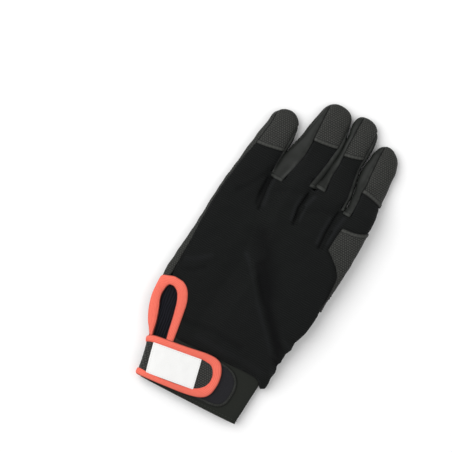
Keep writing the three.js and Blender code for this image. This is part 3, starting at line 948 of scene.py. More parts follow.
def shared(name, inputs, outputs):
    """A shader group with number sockets, and what comes into it."""
    tree = bpy.data.node_groups.new(name, "ShaderNodeTree")
    for socket, value in zip(sockets(tree, "INPUT", dict.fromkeys(inputs, "Float")), inputs.values()):
        socket.default_value = value
    sockets(tree, "OUTPUT", dict.fromkeys(outputs, "Float"))
    return tree, make(tree, "NodeGroupInput").outputs


def math_node(tree, operation, *values):
    return make(tree, "ShaderNodeMath", dict(enumerate(values)), operation=operation).outputs[0]


def times(tree, value, *others):
    for other in others:
        value = math_node(tree, "MULTIPLY", value, other)
    return value


def waving(tree, run, pitch):
    """A sine wave along a distance."""
    return math_node(tree, "SINE", times(tree, math_node(tree, "DIVIDE", run, pitch), TURN))


def ramp(tree, value, low, high, start=0.0, end=1.0):
    limits = {"From Min": low, "From Max": high, "To Min": start, "To Max": end}
    return make(tree, "ShaderNodeMapRange", {"Value": value, **limits}).outputs["Result"]


def noise(tree, place, scale, detail):
    return make(tree, "ShaderNodeTexNoise", {"Vector": place, "Scale": scale, "Detail": detail}).outputs


def vector_node(tree, operation, inputs, output="Vector"):
    return make(tree, "ShaderNodeVectorMath", inputs, operation=operation).outputs[output]


def blend(tree, share, a, b):
    return make(tree, "ShaderNodeMix", {"Factor": share, 6: a, 7: b}, data_type="RGBA").outputs[2]


def places_of(tree):
    """Places along the panel's own surface, in millimetres."""
    return make(tree, "ShaderNodeUVMap", uv_map="places").outputs["UV"]


def pebbles_group():
    """Close round bumps in even rows, as on grip leather: three waves, a third of a turn apart. The
    grooves between them are marked for painted shade.
    """
    tree, start = shared("grip pebbles", {"Pitch": 1.8}, ("Height", "Painted groove shade"))
    place = places_of(tree)
    wander = noise(tree, place, 0.5, 1.0)["Color"]
    bent = vector_node(tree, "SCALE", {0: wander, "Scale": 0.9})
    place = vector_node(tree, "ADD", {0: place, 1: bent})
    turn = math_node(tree, "DIVIDE", PEBBLE_TURN, start["Pitch"])
    crests = []
    for direction in ((0.0, 1.0, 0.0), (TRIANGLE, 0.5, 0.0), (-TRIANGLE, 0.5, 0.0)):
        run = vector_node(tree, "DOT_PRODUCT", {0: place, 1: direction}, "Value")
        crests.append(math_node(tree, "COSINE", times(tree, run, turn)))
    total = math_node(tree, "ADD", math_node(tree, "ADD", crests[0], crests[1]), crests[2])
    rough = times(tree, noise(tree, place, 1.8, 3.0)["Fac"], 0.35)
    make(tree, "NodeGroupOutput", {
        "Height": math_node(tree, "ADD", ramp(tree, total, -1.3, 1.6), rough),
        "Painted groove shade": ramp(tree, total, -1.3, 0.6, 1.0, 0.0),
    })
    return tree


def ribs_group():
    """Fine ribs across or along the glove with a slight slub, as on woven cloth."""
    tree, start = shared("woven ribs", {"Pitch": 1.0, "Across": 0.3, "Along": 1.0}, ("Height", "Slub"))
    place = places_of(tree)
    parts = make(tree, "ShaderNodeSeparateXYZ", {"Vector": place}).outputs
    x, y = times(tree, parts["X"], start["Across"]), times(tree, parts["Y"], start["Along"])
    wander = times(tree, noise(tree, place, 0.12, 1.0)["Fac"], 2.5)
    run = math_node(tree, "ADD", math_node(tree, "ADD", x, y), wander)
    wave = math_node(tree, "MULTIPLY_ADD", waving(tree, run, start["Pitch"]), 0.5, 0.5)
    rough = times(tree, noise(tree, place, 2.4, 2.0)["Fac"], 0.5)
    make(tree, "NodeGroupOutput", {
        "Height": math_node(tree, "ADD", wave, rough),
        "Slub": noise(tree, place, 0.07, 3.0)["Fac"],
    })
    return tree


def stripes_group():
    """Lengthwise woven lines of a tape, from its own places."""
    tree, start = shared("tape stripes", {"Pitch": 1.1}, ("Height", "Dark"))
    place = places_of(tree)
    parts = make(tree, "ShaderNodeSeparateXYZ", {"Vector": place}).outputs
    lines = waving(tree, parts["Y"], start["Pitch"])
    cross = times(tree, math_node(tree, "SINE", times(tree, parts["X"], 9.0)), 0.5)
    blotch = ramp(tree, noise(tree, place, 0.35, 3.0)["Fac"], 0.3, 0.7, 0.4, 1.0)
    make(tree, "NodeGroupOutput", {
        "Height": math_node(tree, "ADD", lines, cross),
        "Dark": times(tree, ramp(tree, lines, -1.0, 0.2, 1.0, 0.0), blotch),
    })
    return tree


def edges_group():
    """Masks from a panel's edges and folds: rubbed places, dark lines of painted shade along seams, hem
    grooves and tape edges, hems, painted shade in creases and painted highlight on their crests.
    """
    tree, start = shared("panel edges", {"Width": 2.4}, ("Rubbed", "Line", "Hem", "Painted crease shade", "Painted crest highlight"))
    seam, hem, fold_and_painted_shade = (make(tree, "ShaderNodeAttribute", attribute_name=label).outputs["Fac"]
                       for label in MARKS)
    near = ramp(tree, math_node(tree, "DIVIDE", seam, start["Width"]), 0.4, 1.0, 1.0, 0.0)
    place = make(tree, "ShaderNodeTexCoord").outputs["Object"]
    place = vector_node(tree, "SCALE", {0: place, "Scale": 1 / MM})
    uneven = ramp(tree, noise(tree, place, 0.25, 4.0)["Fac"], 0.35, 0.65)
    # A line of painted shade along the groove inside a hem
    groove = math_node(tree, "ABSOLUTE", math_node(tree, "SUBTRACT", hem, HEM_WIDTH))
    groove = ramp(tree, groove, 0.1, 0.6, 0.8, 0.0)
    make(tree, "NodeGroupOutput", {
        "Rubbed": times(tree, near, uneven),
        # Line is painted shade along seams, hem grooves and tape edges
        "Line": math_node(tree, "MAXIMUM", ramp(tree, seam, 0.15, 0.8, 1.0, 0.0), groove),
        "Hem": ramp(tree, hem, 2.5, HEM_WIDTH, 1.0, 0.0),
        # Painted shade in the valleys of folds, and painted highlight on their ridges
        "Painted crease shade": ramp(tree, fold_and_painted_shade, 0.1, 1.7),
        "Painted crest highlight": ramp(tree, fold_and_painted_shade, -0.1, -0.9),
    })
    return tree


PEBBLES, RIBS, EDGES, STRIPES = pebbles_group(), ribs_group(), edges_group(), stripes_group()


def material(name, color, light, group, settings, mask="Height", height="Height", share=0.5, bump=0.3,
             roughness=0.8, sheen=0.0, worn_and_highlight=None, wear=0.3, gloss=0.1, line=0.75):
    """A cloth or leather, with its colours as seen on a screen. One of the group's values mixes in the
    second colour and one makes its bumps. Rubbed edges and hems take the worn colour, crests of folds take
    it as a painted highlight, and seams, hem grooves, tape edges and creases go dark with painted shade."""
    made = bpy.data.materials.new(name)
    made.use_nodes = True
    tree = made.node_tree
    light = tone(*light)
    worn_and_highlight = tone(*worn_and_highlight) if worn_and_highlight else light
    pattern = make(tree, "ShaderNodeGroup", settings, node_tree=group).outputs
    edges = make(tree, "ShaderNodeGroup", node_tree=EDGES).outputs
    bare = math_node(tree, "SUBTRACT", 1.0, times(tree, edges["Hem"], 0.75))
    colour = blend(tree, times(tree, pattern[mask], share, bare), tone(*color), light)
    # Rubbed edges and hems take the worn colour, crests take it as painted highlight, and seams and creases
    # blend to black as painted shade
    for label, part, other in (("Rubbed", wear, worn_and_highlight), ("Hem", wear, worn_and_highlight), ("Painted crest highlight", 0.3, worn_and_highlight),
                               ("Line", line, PAINTED_SHADE_BLACK), ("Painted crease shade", line, PAINTED_SHADE_BLACK)):
        colour = blend(tree, times(tree, edges[label], part), colour, other)
    bumps = make(tree, "ShaderNodeBump",
                 {"Height": times(tree, pattern[height], bare), "Strength": 0.8, "Distance": bump * MM})
    shader = tree.nodes["Principled BSDF"].inputs
    tree.links.new(colour, shader["Base Color"])
    tree.links.new(bumps.outputs["Normal"], shader["Normal"])
    shader["Roughness"].default_value = roughness
    shader["Sheen Weight"].default_value = sheen
    shader["Sheen Roughness"].default_value = 0.5
    shader["Specular IOR Level"].default_value = gloss


material("black cloth", (10, 11, 11), (28, 30, 29), RIBS, {"Pitch": 1.55, "Across": 0.0, "Along": 1.0},
         roughness=0.75, sheen=0.03, worn_and_highlight=(38, 39, 42), gloss=0.08)
# The grooves between the pebbles are painted near black: painted shade in the recesses
material("grip leather", (56, 57, 54), (12, 13, 11), PEBBLES, {"Pitch": 1.9}, mask="Painted groove shade",
         share=0.95, bump=0.35, roughness=0.58, worn_and_highlight=(58, 59, 56), wear=0.5, gloss=0.22)
material("smooth leather", (25, 27, 25), (34, 36, 33), RIBS, {"Pitch": 0.8, "Across": 0.5, "Along": 0.5},
         mask="Slub", height="Slub", share=0.6, bump=0.1, roughness=0.55, worn_and_highlight=(56, 58, 55), wear=0.45,
         gloss=0.2)
material("cuff cloth", (29, 31, 28), (42, 44, 40), RIBS, {"Pitch": 0.9, "Across": 1.0, "Along": 0.0},
         bump=0.15, sheen=0.03, worn_and_highlight=(52, 53, 50))
material("loop tape", (30, 30, 33), (52, 52, 57), PEBBLES, {"Pitch": 0.9}, bump=0.5, roughness=1.0,
         sheen=0.1, worn_and_highlight=(50, 50, 55), wear=0.2, gloss=0.05)
material("vent cloth", (13, 13, 15), (34, 35, 42), RIBS, {"Pitch": 2.0, "Across": 1.0, "Along": 0.15},
         share=0.55, roughness=0.9, sheen=0.03, wear=0.5, gloss=0.05)
material("coral tape", (246, 121, 103), (220, 88, 68), STRIPES, {"Pitch": 1.3}, mask="Dark",
         share=0.75, bump=0.16, sheen=0.02, worn_and_highlight=(255, 140, 118), wear=0.0)
material("woven label", (241, 241, 240), (222, 222, 220), RIBS, {"Pitch": 0.6, "Across": 1.0, "Along": 0.2},
         bump=0.12, worn_and_highlight=(204, 204, 201), wear=0.6, line=0.0)
for name, color, light, roughness, gloss in (
    ("black thread", (12, 13, 12), (26, 27, 26), 0.7, 0.1),
    ("dark thread", (40, 42, 39), (60, 61, 58), 0.6, 0.2),
    ("coral thread", (232, 94, 76), (247, 130, 112), 0.6, 0.2),
    ("pale thread", (200, 200, 197), (226, 226, 222), 0.6, 0.2),
):
    material(name, color, light, RIBS, {"Pitch": 0.6}, bump=0.05, roughness=roughness, gloss=gloss)

# Seams of the fingers by finger and side, as X and Y, and the hems of the caps
SEAMS = {
    ("little", -1): [(-52.2, 190), (-51.9, 196), (-50.6, 208), (-50, 216), (-49.8, 232)],
    ("little", 1): [(-30, 160), (-29.9, 190), (-29.7, 205), (-29.6, 216), (-29.8, 232)],
    ("ring", -1): [(-21, 170), (-20.5, 179), (-20, 183), (-18, 192), (-16, 200), (-14.5, 208), (-14.3, 215),
                   (-15.3, 225), (-16, 235), (-16.6, 243), (-16.8, 254)],
    ("ring", 1): [(-0.4, 170), (0.2, 189), (2, 200), (3.5, 210), (5, 222), (5.4, 232), (5, 240), (4, 254)],
    ("middle", -1): [(12.6, 170), (12.5, 190), (11.5, 203), (12, 212), (11.5, 220), (10.5, 230), (10.3, 245),
                     (10.3, 256)],
    ("middle", 1): [(30.4, 170), (31, 190), (29.6, 200), (28, 210), (27, 222), (26.6, 235), (25.6, 246),
                    (24, 256)],
    ("index", -1): [(38, 170), (38.5, 190), (38.4, 197), (37.5, 203), (38, 210), (37, 218), (36, 228),
                    (35.5, 235), (35.5, 245)],
}
CAP_LINES = {
    "little": [(-50.6, 196), (-44, 197), (-36, 198.8), (-29.6, 200.6)],
    "ring": [(-14.4, 219.3), (-8, 220), (-1, 221.2), (5, 222.6)],
    "middle": [(11.5, 220.4), (17, 221.6), (22, 223.2), (27, 225.2)],
    "index": [(38.2, 203.2), (45, 202.4), (51, 201.2), (57, 199.2)],
}

# The seam down the little-finger edge, below the cap's side
ULNAR = [(-52.6, 197), (-55.0, 183), (-56.6, 170), (-57.9, 155), (-58.9, 138), (-58.7, 120), (-58, 100),
         (-58, 78)]

back, palm, cuff = SKINS["back"], SKINS["palm"], SKINS["cuff_back"]
thumb_under, thumb_over = SKINS["thumb_back"], SKINS["thumb_front"]


def rim(skin, side, first, last, past, count=30):
    """Points along a silhouette, or a distance past it."""
    ts = np.linspace(first, last, count)
    return np.stack([SKINS[skin].edge(side, ts, past), ts], -1).tolist()


def closer(first, last, count):
    """Places from one to another, ever closer together."""
    return last - (last - first) * (1 - np.linspace(0, 1, count)) ** 1.5


def seam_curve(finger, side):
    """A seam's X as a curve over Y."""
    xs, ys = np.array(SEAMS[finger, side], float).T
    return curve(ys, xs)


def seam_part(finger, side, first, last):
    """The part of a seam from one place along Y to another."""
    ys = np.linspace(first, last, max(3, int(abs(last - first) / 2)))
    return np.stack([seam_curve(finger, side)(ys), ys], -1).tolist()


def seam_to_tip(finger, side, first, last=None):
    """The seam up the finger's skin, which gives way to the silhouette as the tip narrows."""
    skin = SKINS[finger]
    ts = closer(float(skin.unwind(np.float64(first))), last or skin.end - TIP_GAP, 36)
    ys = skin.along(ts)
    return [(s, t) for (s, _), t in zip(skin.locate(zip(seam_curve(finger, side)(ys), ys)), ts)]


def under_cap(finger):
    """The back panel's edge under a cap, past the cap's hem."""
    return back.locate([(x, y + CAP_LAP) for x, y in CAP_LINES[finger][::-1]])


def index_wrap(skin, ts):
    """How far the index cap reaches round the outer edge, less and less towards the tip."""
    return INDEX_WRAP * np.clip((skin.end - ts) / WRAP_FADE, 0, 1)


def loop_of(corners):
    """The sides of a plain outline, as open edges."""
    return [("open", [corner, after]) for corner, after in zip(corners, corners[1:] + corners[:1])]


# Back of the hand

# Runs of the outline with a row of stitches, and how far inside it: the little-finger edge and the wrist
PANEL_ROWS = {17: 1.6, 0: 1.8}
under_patch_edge = [(56.9, 119), (56.2, 130), (52.5, 142), (46, 149.6), (39.6, 154.5), (40.2, 165),
                    (41, 169), (50, 170.4), (56, 173.6)]
under_vent_edge = [(-57, 75.6), (-52, 73.4), (-47, 72), (-43.5, 69.3), (-40.7, 65), (-38, 58), (-36.6, 52),
                   (-35.4, 46), (-34.6, 40), (-33.9, 36)]
sheet = Sheet("back", [
    ("seam", [(-34.2, 34.2), (-20, 35.2), (-10, 36), (0, 36.8), (8, 37.5), (20, 38.3), (30, 39), (37, 39),
              (42, 37.4), (44.6, 34.2), (46.4, 33.0)]),
    ("seam", rim("back", 1, 33.4, 106, 2.4)),
    ("under", [(back.edge(1, 109.0, 2.0), 109), (back.edge(1, 113.0, 0.6), 113),
               *back.locate(under_patch_edge), (back.edge(1, 175.5, 2.0), 175.5)]),
    ("seam", rim("back", 1, 178, 200, 3.0)),
    ("under", under_cap("index")),
    ("seam", seam_part("index", -1, 205, 184)),
    ("under", [(38.3, 183.6), (34.5, 184), (31, 184.4)]),
    ("seam", seam_part("middle", 1, 185, 228)),
    ("under", under_cap("middle")),
    ("seam", seam_part("middle", -1, 222.6, 192)),
    ("under", [(12.4, 191), (8, 190.4), (4.8, 186.2), (2.4, 187.6), (0.4, 190)]),
    ("seam", seam_part("ring", 1, 191, 225)),
    ("under", under_cap("ring")),
    ("seam", seam_part("ring", -1, 221.6, 184)),
    ("under", [(-20.4, 182.6), (-25, 182), (-29, 181.4)]),
    ("seam", seam_part("little", 1, 183, 203)),
    ("under", under_cap("little")),
    ("seam", back.locate([(-52.0, 199), *ULNAR])),
    ("under", back.locate(under_vent_edge)),
])
sew("back_panel", "black_cloth", "black cloth", sheet, thread="black thread",
    rows=[sheet.row(run, reach) for run, reach in PANEL_ROWS.items()])

# Fingertip caps

for finger, line in CAP_LINES.items():
    skin = SKINS[finger]
    hem = skin.locate(line)
    left = seam_to_tip(finger, -1, line[0][1])
    if finger == "index":
        ts = closer(hem[-1][1], skin.end - TIP_GAP, 40)
        right = np.stack([skin.edge(1, ts, index_wrap(skin, ts)), ts], -1).tolist()
    else:
        right = seam_to_tip(finger, 1, line[-1][1])
    sheet = Sheet(finger, [("lap", hem), ("seam", right), ("seam", left[::-1])])
    sew("cap_" + finger, "pebbled_leather", "grip leather", sheet, thread="dark thread",
        rows=[sheet.row(0, reach, ends=2.8) for reach in HEM_ROWS])

# Fourchettes: the seam to the finger front lies a distance past the silhouette, or short of it
FRONT_SEAMS = {
    ("little", 1): [(178, 3.4), (205, 3.0), (222, 1.4), (232, 0)],
    ("ring", -1): [(178, 2.6), (198, 1.2), (210, -1.8), (236, -2.2), (245, -1.2), (254, 0)],
    ("ring", 1): [(178, 2.6), (215, 2.4), (240, 1.2), (254, 0)],
    ("middle", -1): [(178, 2.6), (220, 2.4), (245, 1.2), (256, 0)],
    ("middle", 1): [(178, 2.6), (220, 2.4), (245, 1.2), (256, 0)],
    ("index", -1): [(178, 2.8), (210, 2.6), (232, 1.4), (245, 0)],
}
HEMS = {
    ("little", 1): 182, ("ring", -1): 179.2, ("ring", 1): 186.8, ("middle", -1): 188.6, ("middle", 1): 183,
    ("index", -1): 181.4,
}
FOURCHETTE_END = 1.6
WEB_RISE = 3.0
WEB_INSET = 2.0
WEB_SINK = 2.4
WEB_BELLY = 2.2
FOURCHETTE_WALL, WEB_WALL = 1.1, 0.9


def front_past(finger, side, t):
    """How far past the silhouette the seam to the finger front lies."""
    ys, past = np.array(FRONT_SEAMS[finger, side], float).T
    return curve(ys, past)(SKINS[finger].along(t))


def fourchette_side(finger, side):
    """The strip along one side of a finger, from its seam on the back to its seam on the front."""
    skin = SKINS[finger]
    hem, last = HEMS[finger, side], skin.end - FOURCHETTE_END
    top = seam_to_tip(finger, side, hem, last)
    ts = np.linspace(hem, last, 40)
    low = np.stack([skin.edge(side, ts, front_past(finger, side, ts)), ts], -1).tolist()
    if side < 0:
        top, low = low, top
    return Sheet(finger, [("lap", [top[0], low[0]]), ("seam", low), ("seam", top[::-1])], spacing=fine(1.1))


def web(left, right):
    """The bottom of the gap between two fingers, from one fourchette side to the other."""
    ends = []
    for finger, side in ((left, 1), (right, -1)):
        skin, t = SKINS[finger], HEMS[finger, side] + WEB_RISE
        seam = skin.locate([(float(seam_curve(finger, side)(t)), t)])[0][0]
        low = skin.edge(side, t, front_past(finger, side, t))
        ends.append(skin.above(np.linspace(seam + side * WEB_INSET, low, 6), np.full(6, t), -WEB_SINK))
    net = []
    for turn in np.linspace(0, np.pi, 9):
        row = mix(ends[0], ends[1], (1 - np.cos(turn)) / 2)
        row[:, 1] -= WEB_BELLY * np.sin(turn)
        net.append(row)
    return ruled(np.array(net), WEB_WALL)


for left, right in (("little", "ring"), ("ring", "middle"), ("middle", "index")):
    sides = [fourchette_side(left, 1), fourchette_side(right, -1)]
    rows = [side.row(0, HEM_ROWS[1], ends=0.8) for side in sides]
    sew(f"fourchette_{left}_{right}", "smooth_leather", "smooth leather", *sides, wall=FOURCHETTE_WALL,
        solids=[web(left, right)], thread="dark thread", rows=[row for row in rows if len(row) > 7])

# Patch between thumb and index finger: over the hand's edge, over the thumb, and a web between the two

patch_hem = [(58.2, 178.4), (56, 177), (50, 174), (44, 172.6), (38, 172)]
patch_left = [(38, 172), (37.2, 165), (36.6, 152)]
patch_low = [(36.6, 152), (43.5, 147), (50, 141.4), (53.6, 135.6), (54.9, 126), (55.5, 117), (56.2, 109)]
patch_moon = [(40, 123), (31, 127), (24, 131), (18.4, 137), (16, 145), (16.2, 153), (20.2, 163), (26.8, 172),
              (31.5, 178), (33.4, 183)]
palm_edge = [(52, 136.6), (46.6, 134.4), (41, 131), (37.6, 124), (37, 118)]
thumb_line = [(49, 144.6), (45, 141), (40.6, 135), (38.6, 126), (38.2, 119)]
PATCH_WRAP, PATCH_WEB_WRAP = 6.1, 5.6
PATCH_WEB_WALL, PATCH_WEB_BELLY = 0.8, 1.4


def patch_web():
    """The patch's hidden part, from the palm's edge down to the thumb's."""
    above = [back.point(back.edge(1, t, PATCH_WEB_WRAP * smooth_step(*PATCH_WEB_Y, t)), t)
             for t in np.linspace(108, 136, 9)]
    above += [palm.point(*place) for place in palm.locate(palm_edge)]
    below = [thumb_under.point(thumb_under.edge(1, t, 0.2), t) for t in np.linspace(108, 144, 9)]
    below += [thumb_over.point(*place) for place in thumb_over.locate(thumb_line)]
    ends = [spread(resample(line, 1.4), 48) for line in (above, below)]
    net = np.array([mix(ends[0], ends[1], share) for share in np.linspace(0, 1, 6)])
    net[:, :, 0] -= PATCH_WEB_BELLY * np.sin(np.linspace(0, np.pi, 6))[:, None]
    return ruled(net, PATCH_WEB_WALL)


sheet = Sheet("back", [
    ("lap", [(back.edge(1, 178.6, 6.0), 178.6), *back.locate(patch_hem)]),
    ("laid", back.locate(patch_left)),
    ("laid", back.locate(patch_low)),
    ("soft", [(s + PATCH_WRAP * smooth_step(*PATCH_WRAP_Y, t), t)
              for s, t in rim("back", 1, 107.5, 178, 0.3)]),
])
under_sheet = Sheet("thumb_back", [
    ("soft", rim("thumb_back", 1, 119, 178, 0.6)),
    ("laid", [(35.4, 181), (34, 184)]),
    ("laid", patch_moon[::-1] + [(47, 120.5)]),
], spacing=1.6)
sew("crotch_patch", "pebbled_leather", "grip leather", sheet, under_sheet, solids=[patch_web()],
    thread="dark thread",
    rows=[sheet.row(k, reach, ends=1.2 if k else 4.5) for k in range(3) for reach in HEM_ROWS])

# Back of the thumb, which faces down

thumb_moon = [(47, 123.5), (40, 126), (31, 130), (24, 134.5), (20.6, 139), (18.6, 146), (19, 152.4),
              (23, 161.6), (29.2, 170), (33.6, 176), (34.6, 180)]
sew("thumb_back", "black_cloth", "black cloth", Sheet("thumb_back", [
    ("seam", [(thumb_under.edge(-1, 51.0, 0.5), 51), (20, 50.6), (44, 50.6),
              (thumb_under.edge(1, 51.0, 3.6), 51)]),
    ("under", rim("thumb_back", 1, 52, 119, 3.6)),
    ("under", thumb_moon),
    ("seam", rim("thumb_back", 1, 181, thumb_under.end - 0.4, 0.2, 14)),
    ("seam", rim("thumb_back", -1, thumb_under.end - 0.8, 53, 0.6, 60)),
], spacing=1.6))

# Front of the thumb, against the palm

sew("thumb_front", "pebbled_leather", "grip leather", Sheet("thumb_front", [
    ("seam", [(thumb_over.edge(-1, 54.0, -1.0), 54), (38, 54)]),
    ("seam", [(38, 56), (38, 120), (41, 136)]),
    ("seam", rim("thumb_front", 1, 146, thumb_over.end - 0.4, -0.6)),
    ("seam", rim("thumb_front", -1, thumb_over.end - 0.8, 56, -0.8, 50)),
], spacing=2.2))

# Palm and finger fronts: each front is welded to the palm along a line across the finger's base

JOIN = 189.0
GAPS = {"index": 30.9, "middle": 4.2, "ring": -29.4}


def front_edge(finger, side, ts):
    """Where the seam of a finger front lies on the front's own skin."""
    skin = SKINS[finger + "_front"]
    if (finger, side) == ("little", -1):
        ys = skin.along(ts)
        return np.array(skin.locate(zip(seam_curve(finger, side)(ys), ys), far=True))[:, 0]
    if (finger, side) == ("index", 1):
        return skin.edge(side, ts, -index_wrap(skin, ts))
    return skin.edge(side, ts, -front_past(finger, side, ts))


def on_palm(points):
    """The places on the palm's own skin of points on the line where it joins a finger front."""
    i = int(np.abs(palm.ts - JOIN).argmin())
    start, (xs, zs) = palm.start[-1][i], palm.path[-1][:, i]
    return [(x if x > start else start - palm.even[np.hypot(xs - x, zs - z).argmin()], JOIN)
            for x, _, z in points]


palm_runs = [
    ("seam", [(palm.locate([(-53.6, 39.2)], far=True)[0][0], 39.2), (-30, 39.2), (0, 39.2), (30, 39.2),
              (palm.edge(1, 39.2, -1.8), 39.2)]),
    ("seam", rim("palm", 1, 40.5, 49.6, -1.8, 8)),
    ("seam", [(46, 50.5), (38.4, 50.6)]),
    ("open", [(37, 52), (36, 80), (36, 124), (40, 130), (46, 134)]),
    ("under", rim("palm", 1, 138, 176, -2.0)),
    ("seam", rim("palm", 1, 179, JOIN, -2.7, 6)),
]
fronts = []
for finger in ("index", "middle", "ring", "little"):
    skin = SKINS[finger + "_front"]
    ts = closer(JOIN, skin.end - TIP_GAP, 60)
    right, left = front_edge(finger, 1, ts), front_edge(finger, -1, ts)
    across = np.linspace(right[0], left[0], int((right[0] - left[0]) / (SPACING * LINE_SHARE)))
    line = np.stack([across, np.full(len(across), JOIN)], -1)
    own = on_palm(skin.point(line[:, 0], line[:, 1]))
    palm_runs.append(("open", own))
    if finger in GAPS:
        gap = GAPS[finger]
        palm_runs.append(("open", [(own[-1][0] - 0.2, JOIN - 1.5), (gap + 1, JOIN - 3),
                                   (gap + 0.2, JOIN - 1.5)]))
    fronts.append(Sheet(finger + "_front", [
        ("open", line[::-1]),
        ("seam", np.stack([right, ts], -1)),
        ("seam", np.stack([left, ts], -1)[::-1]),
    ], spacing=fine(1.4)))
palm_left = [(-53, JOIN), *ULNAR[1:], (-59.2, 73), (-60.4, 66), (-59.4, 58), (-57, 50), (-54.4, 41)]
palm_runs.append(("seam", palm.locate(palm_left, far=True)))
piece = Piece()
piece.add_sheets(Sheet("palm", palm_runs, spacing=fine(1.4)), *fronts)
piece.finish("palm_panel", "pebbled_leather", "grip leather")

# Back of the cuff


def cuff_hem(skin, past):
    """The cuff's open end."""
    left, right = SKINS[skin].edge(-1, -3.9, past), SKINS[skin].edge(1, 0.4, past)
    return [(left, -3.9), (-30, -3.4), (0, -2), (20, -1), (right, 0.4)]


sheet = Sheet("cuff_back", [
    ("open", cuff_hem("cuff_back", 0.3)),
    ("seam", rim("cuff_back", 1, 2, 41, 0.5)),
    ("open", [(43, 42), (0, 42), (-32, 42)]),
    ("open", [(-33, 40), (-34, 31), (-40, 28), (-46, 27)]),
    ("seam", rim("cuff_back", -1, 26, -2, 0.5)),
])
sew("cuff_back", "cuff_cloth", "cuff cloth", sheet, thread="dark thread", rows=[sheet.row(0, 2.6)])

# Elastic band on the palm side of the cuff

RIB_PITCH, RIB_HEIGHT = 1.25, 0.16
sew("cuff_palm", "cuff_cloth", "cuff cloth", Sheet("cuff_palm", [
    ("open", cuff_hem("cuff_palm", -0.2)),
    ("seam", rim("cuff_palm", 1, 2, 41, -0.3)),
    ("open", [(42, 42), (0, 42), (-50, 42)]),
    ("seam", rim("cuff_palm", -1, 41, -2, -0.3)),
], spacing=fine(0.62), detail=lambda s, t: RIB_HEIGHT * np.sin(TURN * t / RIB_PITCH)))

# Walls of the pad, strap and label, and heights over the skin of them, the tapes and their stitches
PAD_WALL, STRAP_WALL, LABEL_WALL = 0.9, 1.5, 0.4
PAD_TOP, STRAP_TOP, LABEL_TOP = 1.3, 3.4, 3.95
PAD_EDGE_LOW, PAD_EDGE_TOP = 0.2, PAD_TOP + 0.25
STRAP_TAPE_LOW, STRAP_TAPE_TOP, STRAP_ROW = 1.7, 4.4, 4.15
VENT_TAPE_LOW, VENT_TAPE_TOP, VENT_ROW = -0.9, 1.5, 1.2


def line_across(pairs, share):
    """A line along a tape, a share of the way from its outer edge to its inner one. The tape is given by
    pairs of places: X and Y on the outer edge, then X and Y on the inner one."""
    return [(mix(a, c, share), mix(b, d, share)) for a, b, c, d in pairs]


def row_along(skin, pairs, share, height):
    """A row of stitches along a tape, at a height over the skin."""
    line = resample(line_across(pairs, share), STITCH_STEP)
    return skin.above(line[:, 0], line[:, 1], height)


def add_tape(piece, skin, pairs, low, high, row):
    """A coral tape with its row of stitches."""
    piece.add_band(skin, pairs, low, high, count=14)
    add_stitches(piece, [row], "coral thread", pitch=2.3, length=1.7, thickness=0.42)


# Pad that the strap closes on

pad_edge = [(-16, 33.5, -16, 31), (0, 36.4, 0, 33.9), (13, 36.7, 12.6, 34.2), (20, 35.5, 18.8, 33.3),
            (25, 32.2, 23, 30.6), (28.2, 27.6, 25.9, 26.6), (29.5, 20, 27, 20), (29, 13, 26.6, 13.6),
            (26.8, 8, 24.8, 9.6), (22, 4.7, 21, 7), (15, 3.5, 14.8, 6), (4, 3, 4, 5.5), (-8, 2.6, -8, 5)]
piece = Piece()
piece.add_sheets(Sheet("cuff_back", [
    ("open", line_across(pad_edge, 0.5)[::-1]),
    ("open", [(-16, 30), (-16, 6)]),
], layer=PAD_TOP - 0.3), wall=PAD_WALL)
piece.add_band("cuff_back", pad_edge, PAD_EDGE_LOW, PAD_EDGE_TOP, slot=1)
rows = [row_along(cuff, pad_edge[2:-2], share, PAD_EDGE_TOP) for share in (0.3, 0.72)]
add_stitches(piece, rows, "dark thread", slot=2, pitch=2.2, length=1.6, thickness=0.4)
piece.finish("loop_pad", "loop_cloth", "loop tape", "smooth leather", "dark thread")

# Strap


def around(t, past):
    """A place round the cuff's outer edge."""
    return cuff.edge(-1, t, past)


strap_pairs = [
    (around(25.4, 5), 25.4, around(19.6, 5), 19.6), (around(27.4, 0.5), 27.4, around(21.6, 0.5), 21.6),
    (-45, 29.4, -44.4, 23.2), (-37, 31, -36.6, 24.8), (-30, 32.2, -29.6, 26.1), (-20, 34, -19.5, 27.9),
    (-10, 36, -9.6, 29.7), (-3, 37.3, -3, 30.9), (3, 37.7, 1.6, 30.8), (8.2, 36.6, 4.6, 29.4),
    (12.1, 32.7, 6.7, 27), (14.7, 26.5, 8.2, 23.5), (15.6, 20.5, 8.6, 19.6), (15.1, 14, 7.5, 15.8),
    (12.8, 8.6, 4.7, 12.3), (8.2, 5.1, 1.2, 9.8), (2, 3.0, -3.5, 8), (-5, 1.5, -9, 6.6), (-15, 0, -17, 5),
    (-25, -1.4, -26, 3.6), (-35, -2.7, -35.5, 2.6), (-41, -3.5, -41.5, 2.4),
    (around(-3.8, 0.5), -3.8, around(1.6, 0.5), 1.6), (around(-3.9, 5), -3.9, around(1.6, 5), 1.6),
]
middle_line = line_across(strap_pairs, 0.6)
sew("strap", "pebbled_leather", "grip leather", Sheet("cuff_back", [
    ("open", middle_line[::-1]),
    ("open", [middle_line[0], middle_line[-1]]),
], layer=STRAP_TOP, relieved=False), wall=STRAP_WALL)

# The strap's tape

piece = Piece()
add_tape(piece, "cuff_back", strap_pairs, STRAP_TAPE_LOW, STRAP_TAPE_TOP,
         row_along(cuff, strap_pairs[1:-1], 0.82, STRAP_ROW))
piece.finish("strap_binding", "coral_tape", "coral tape", "coral thread")

# Label

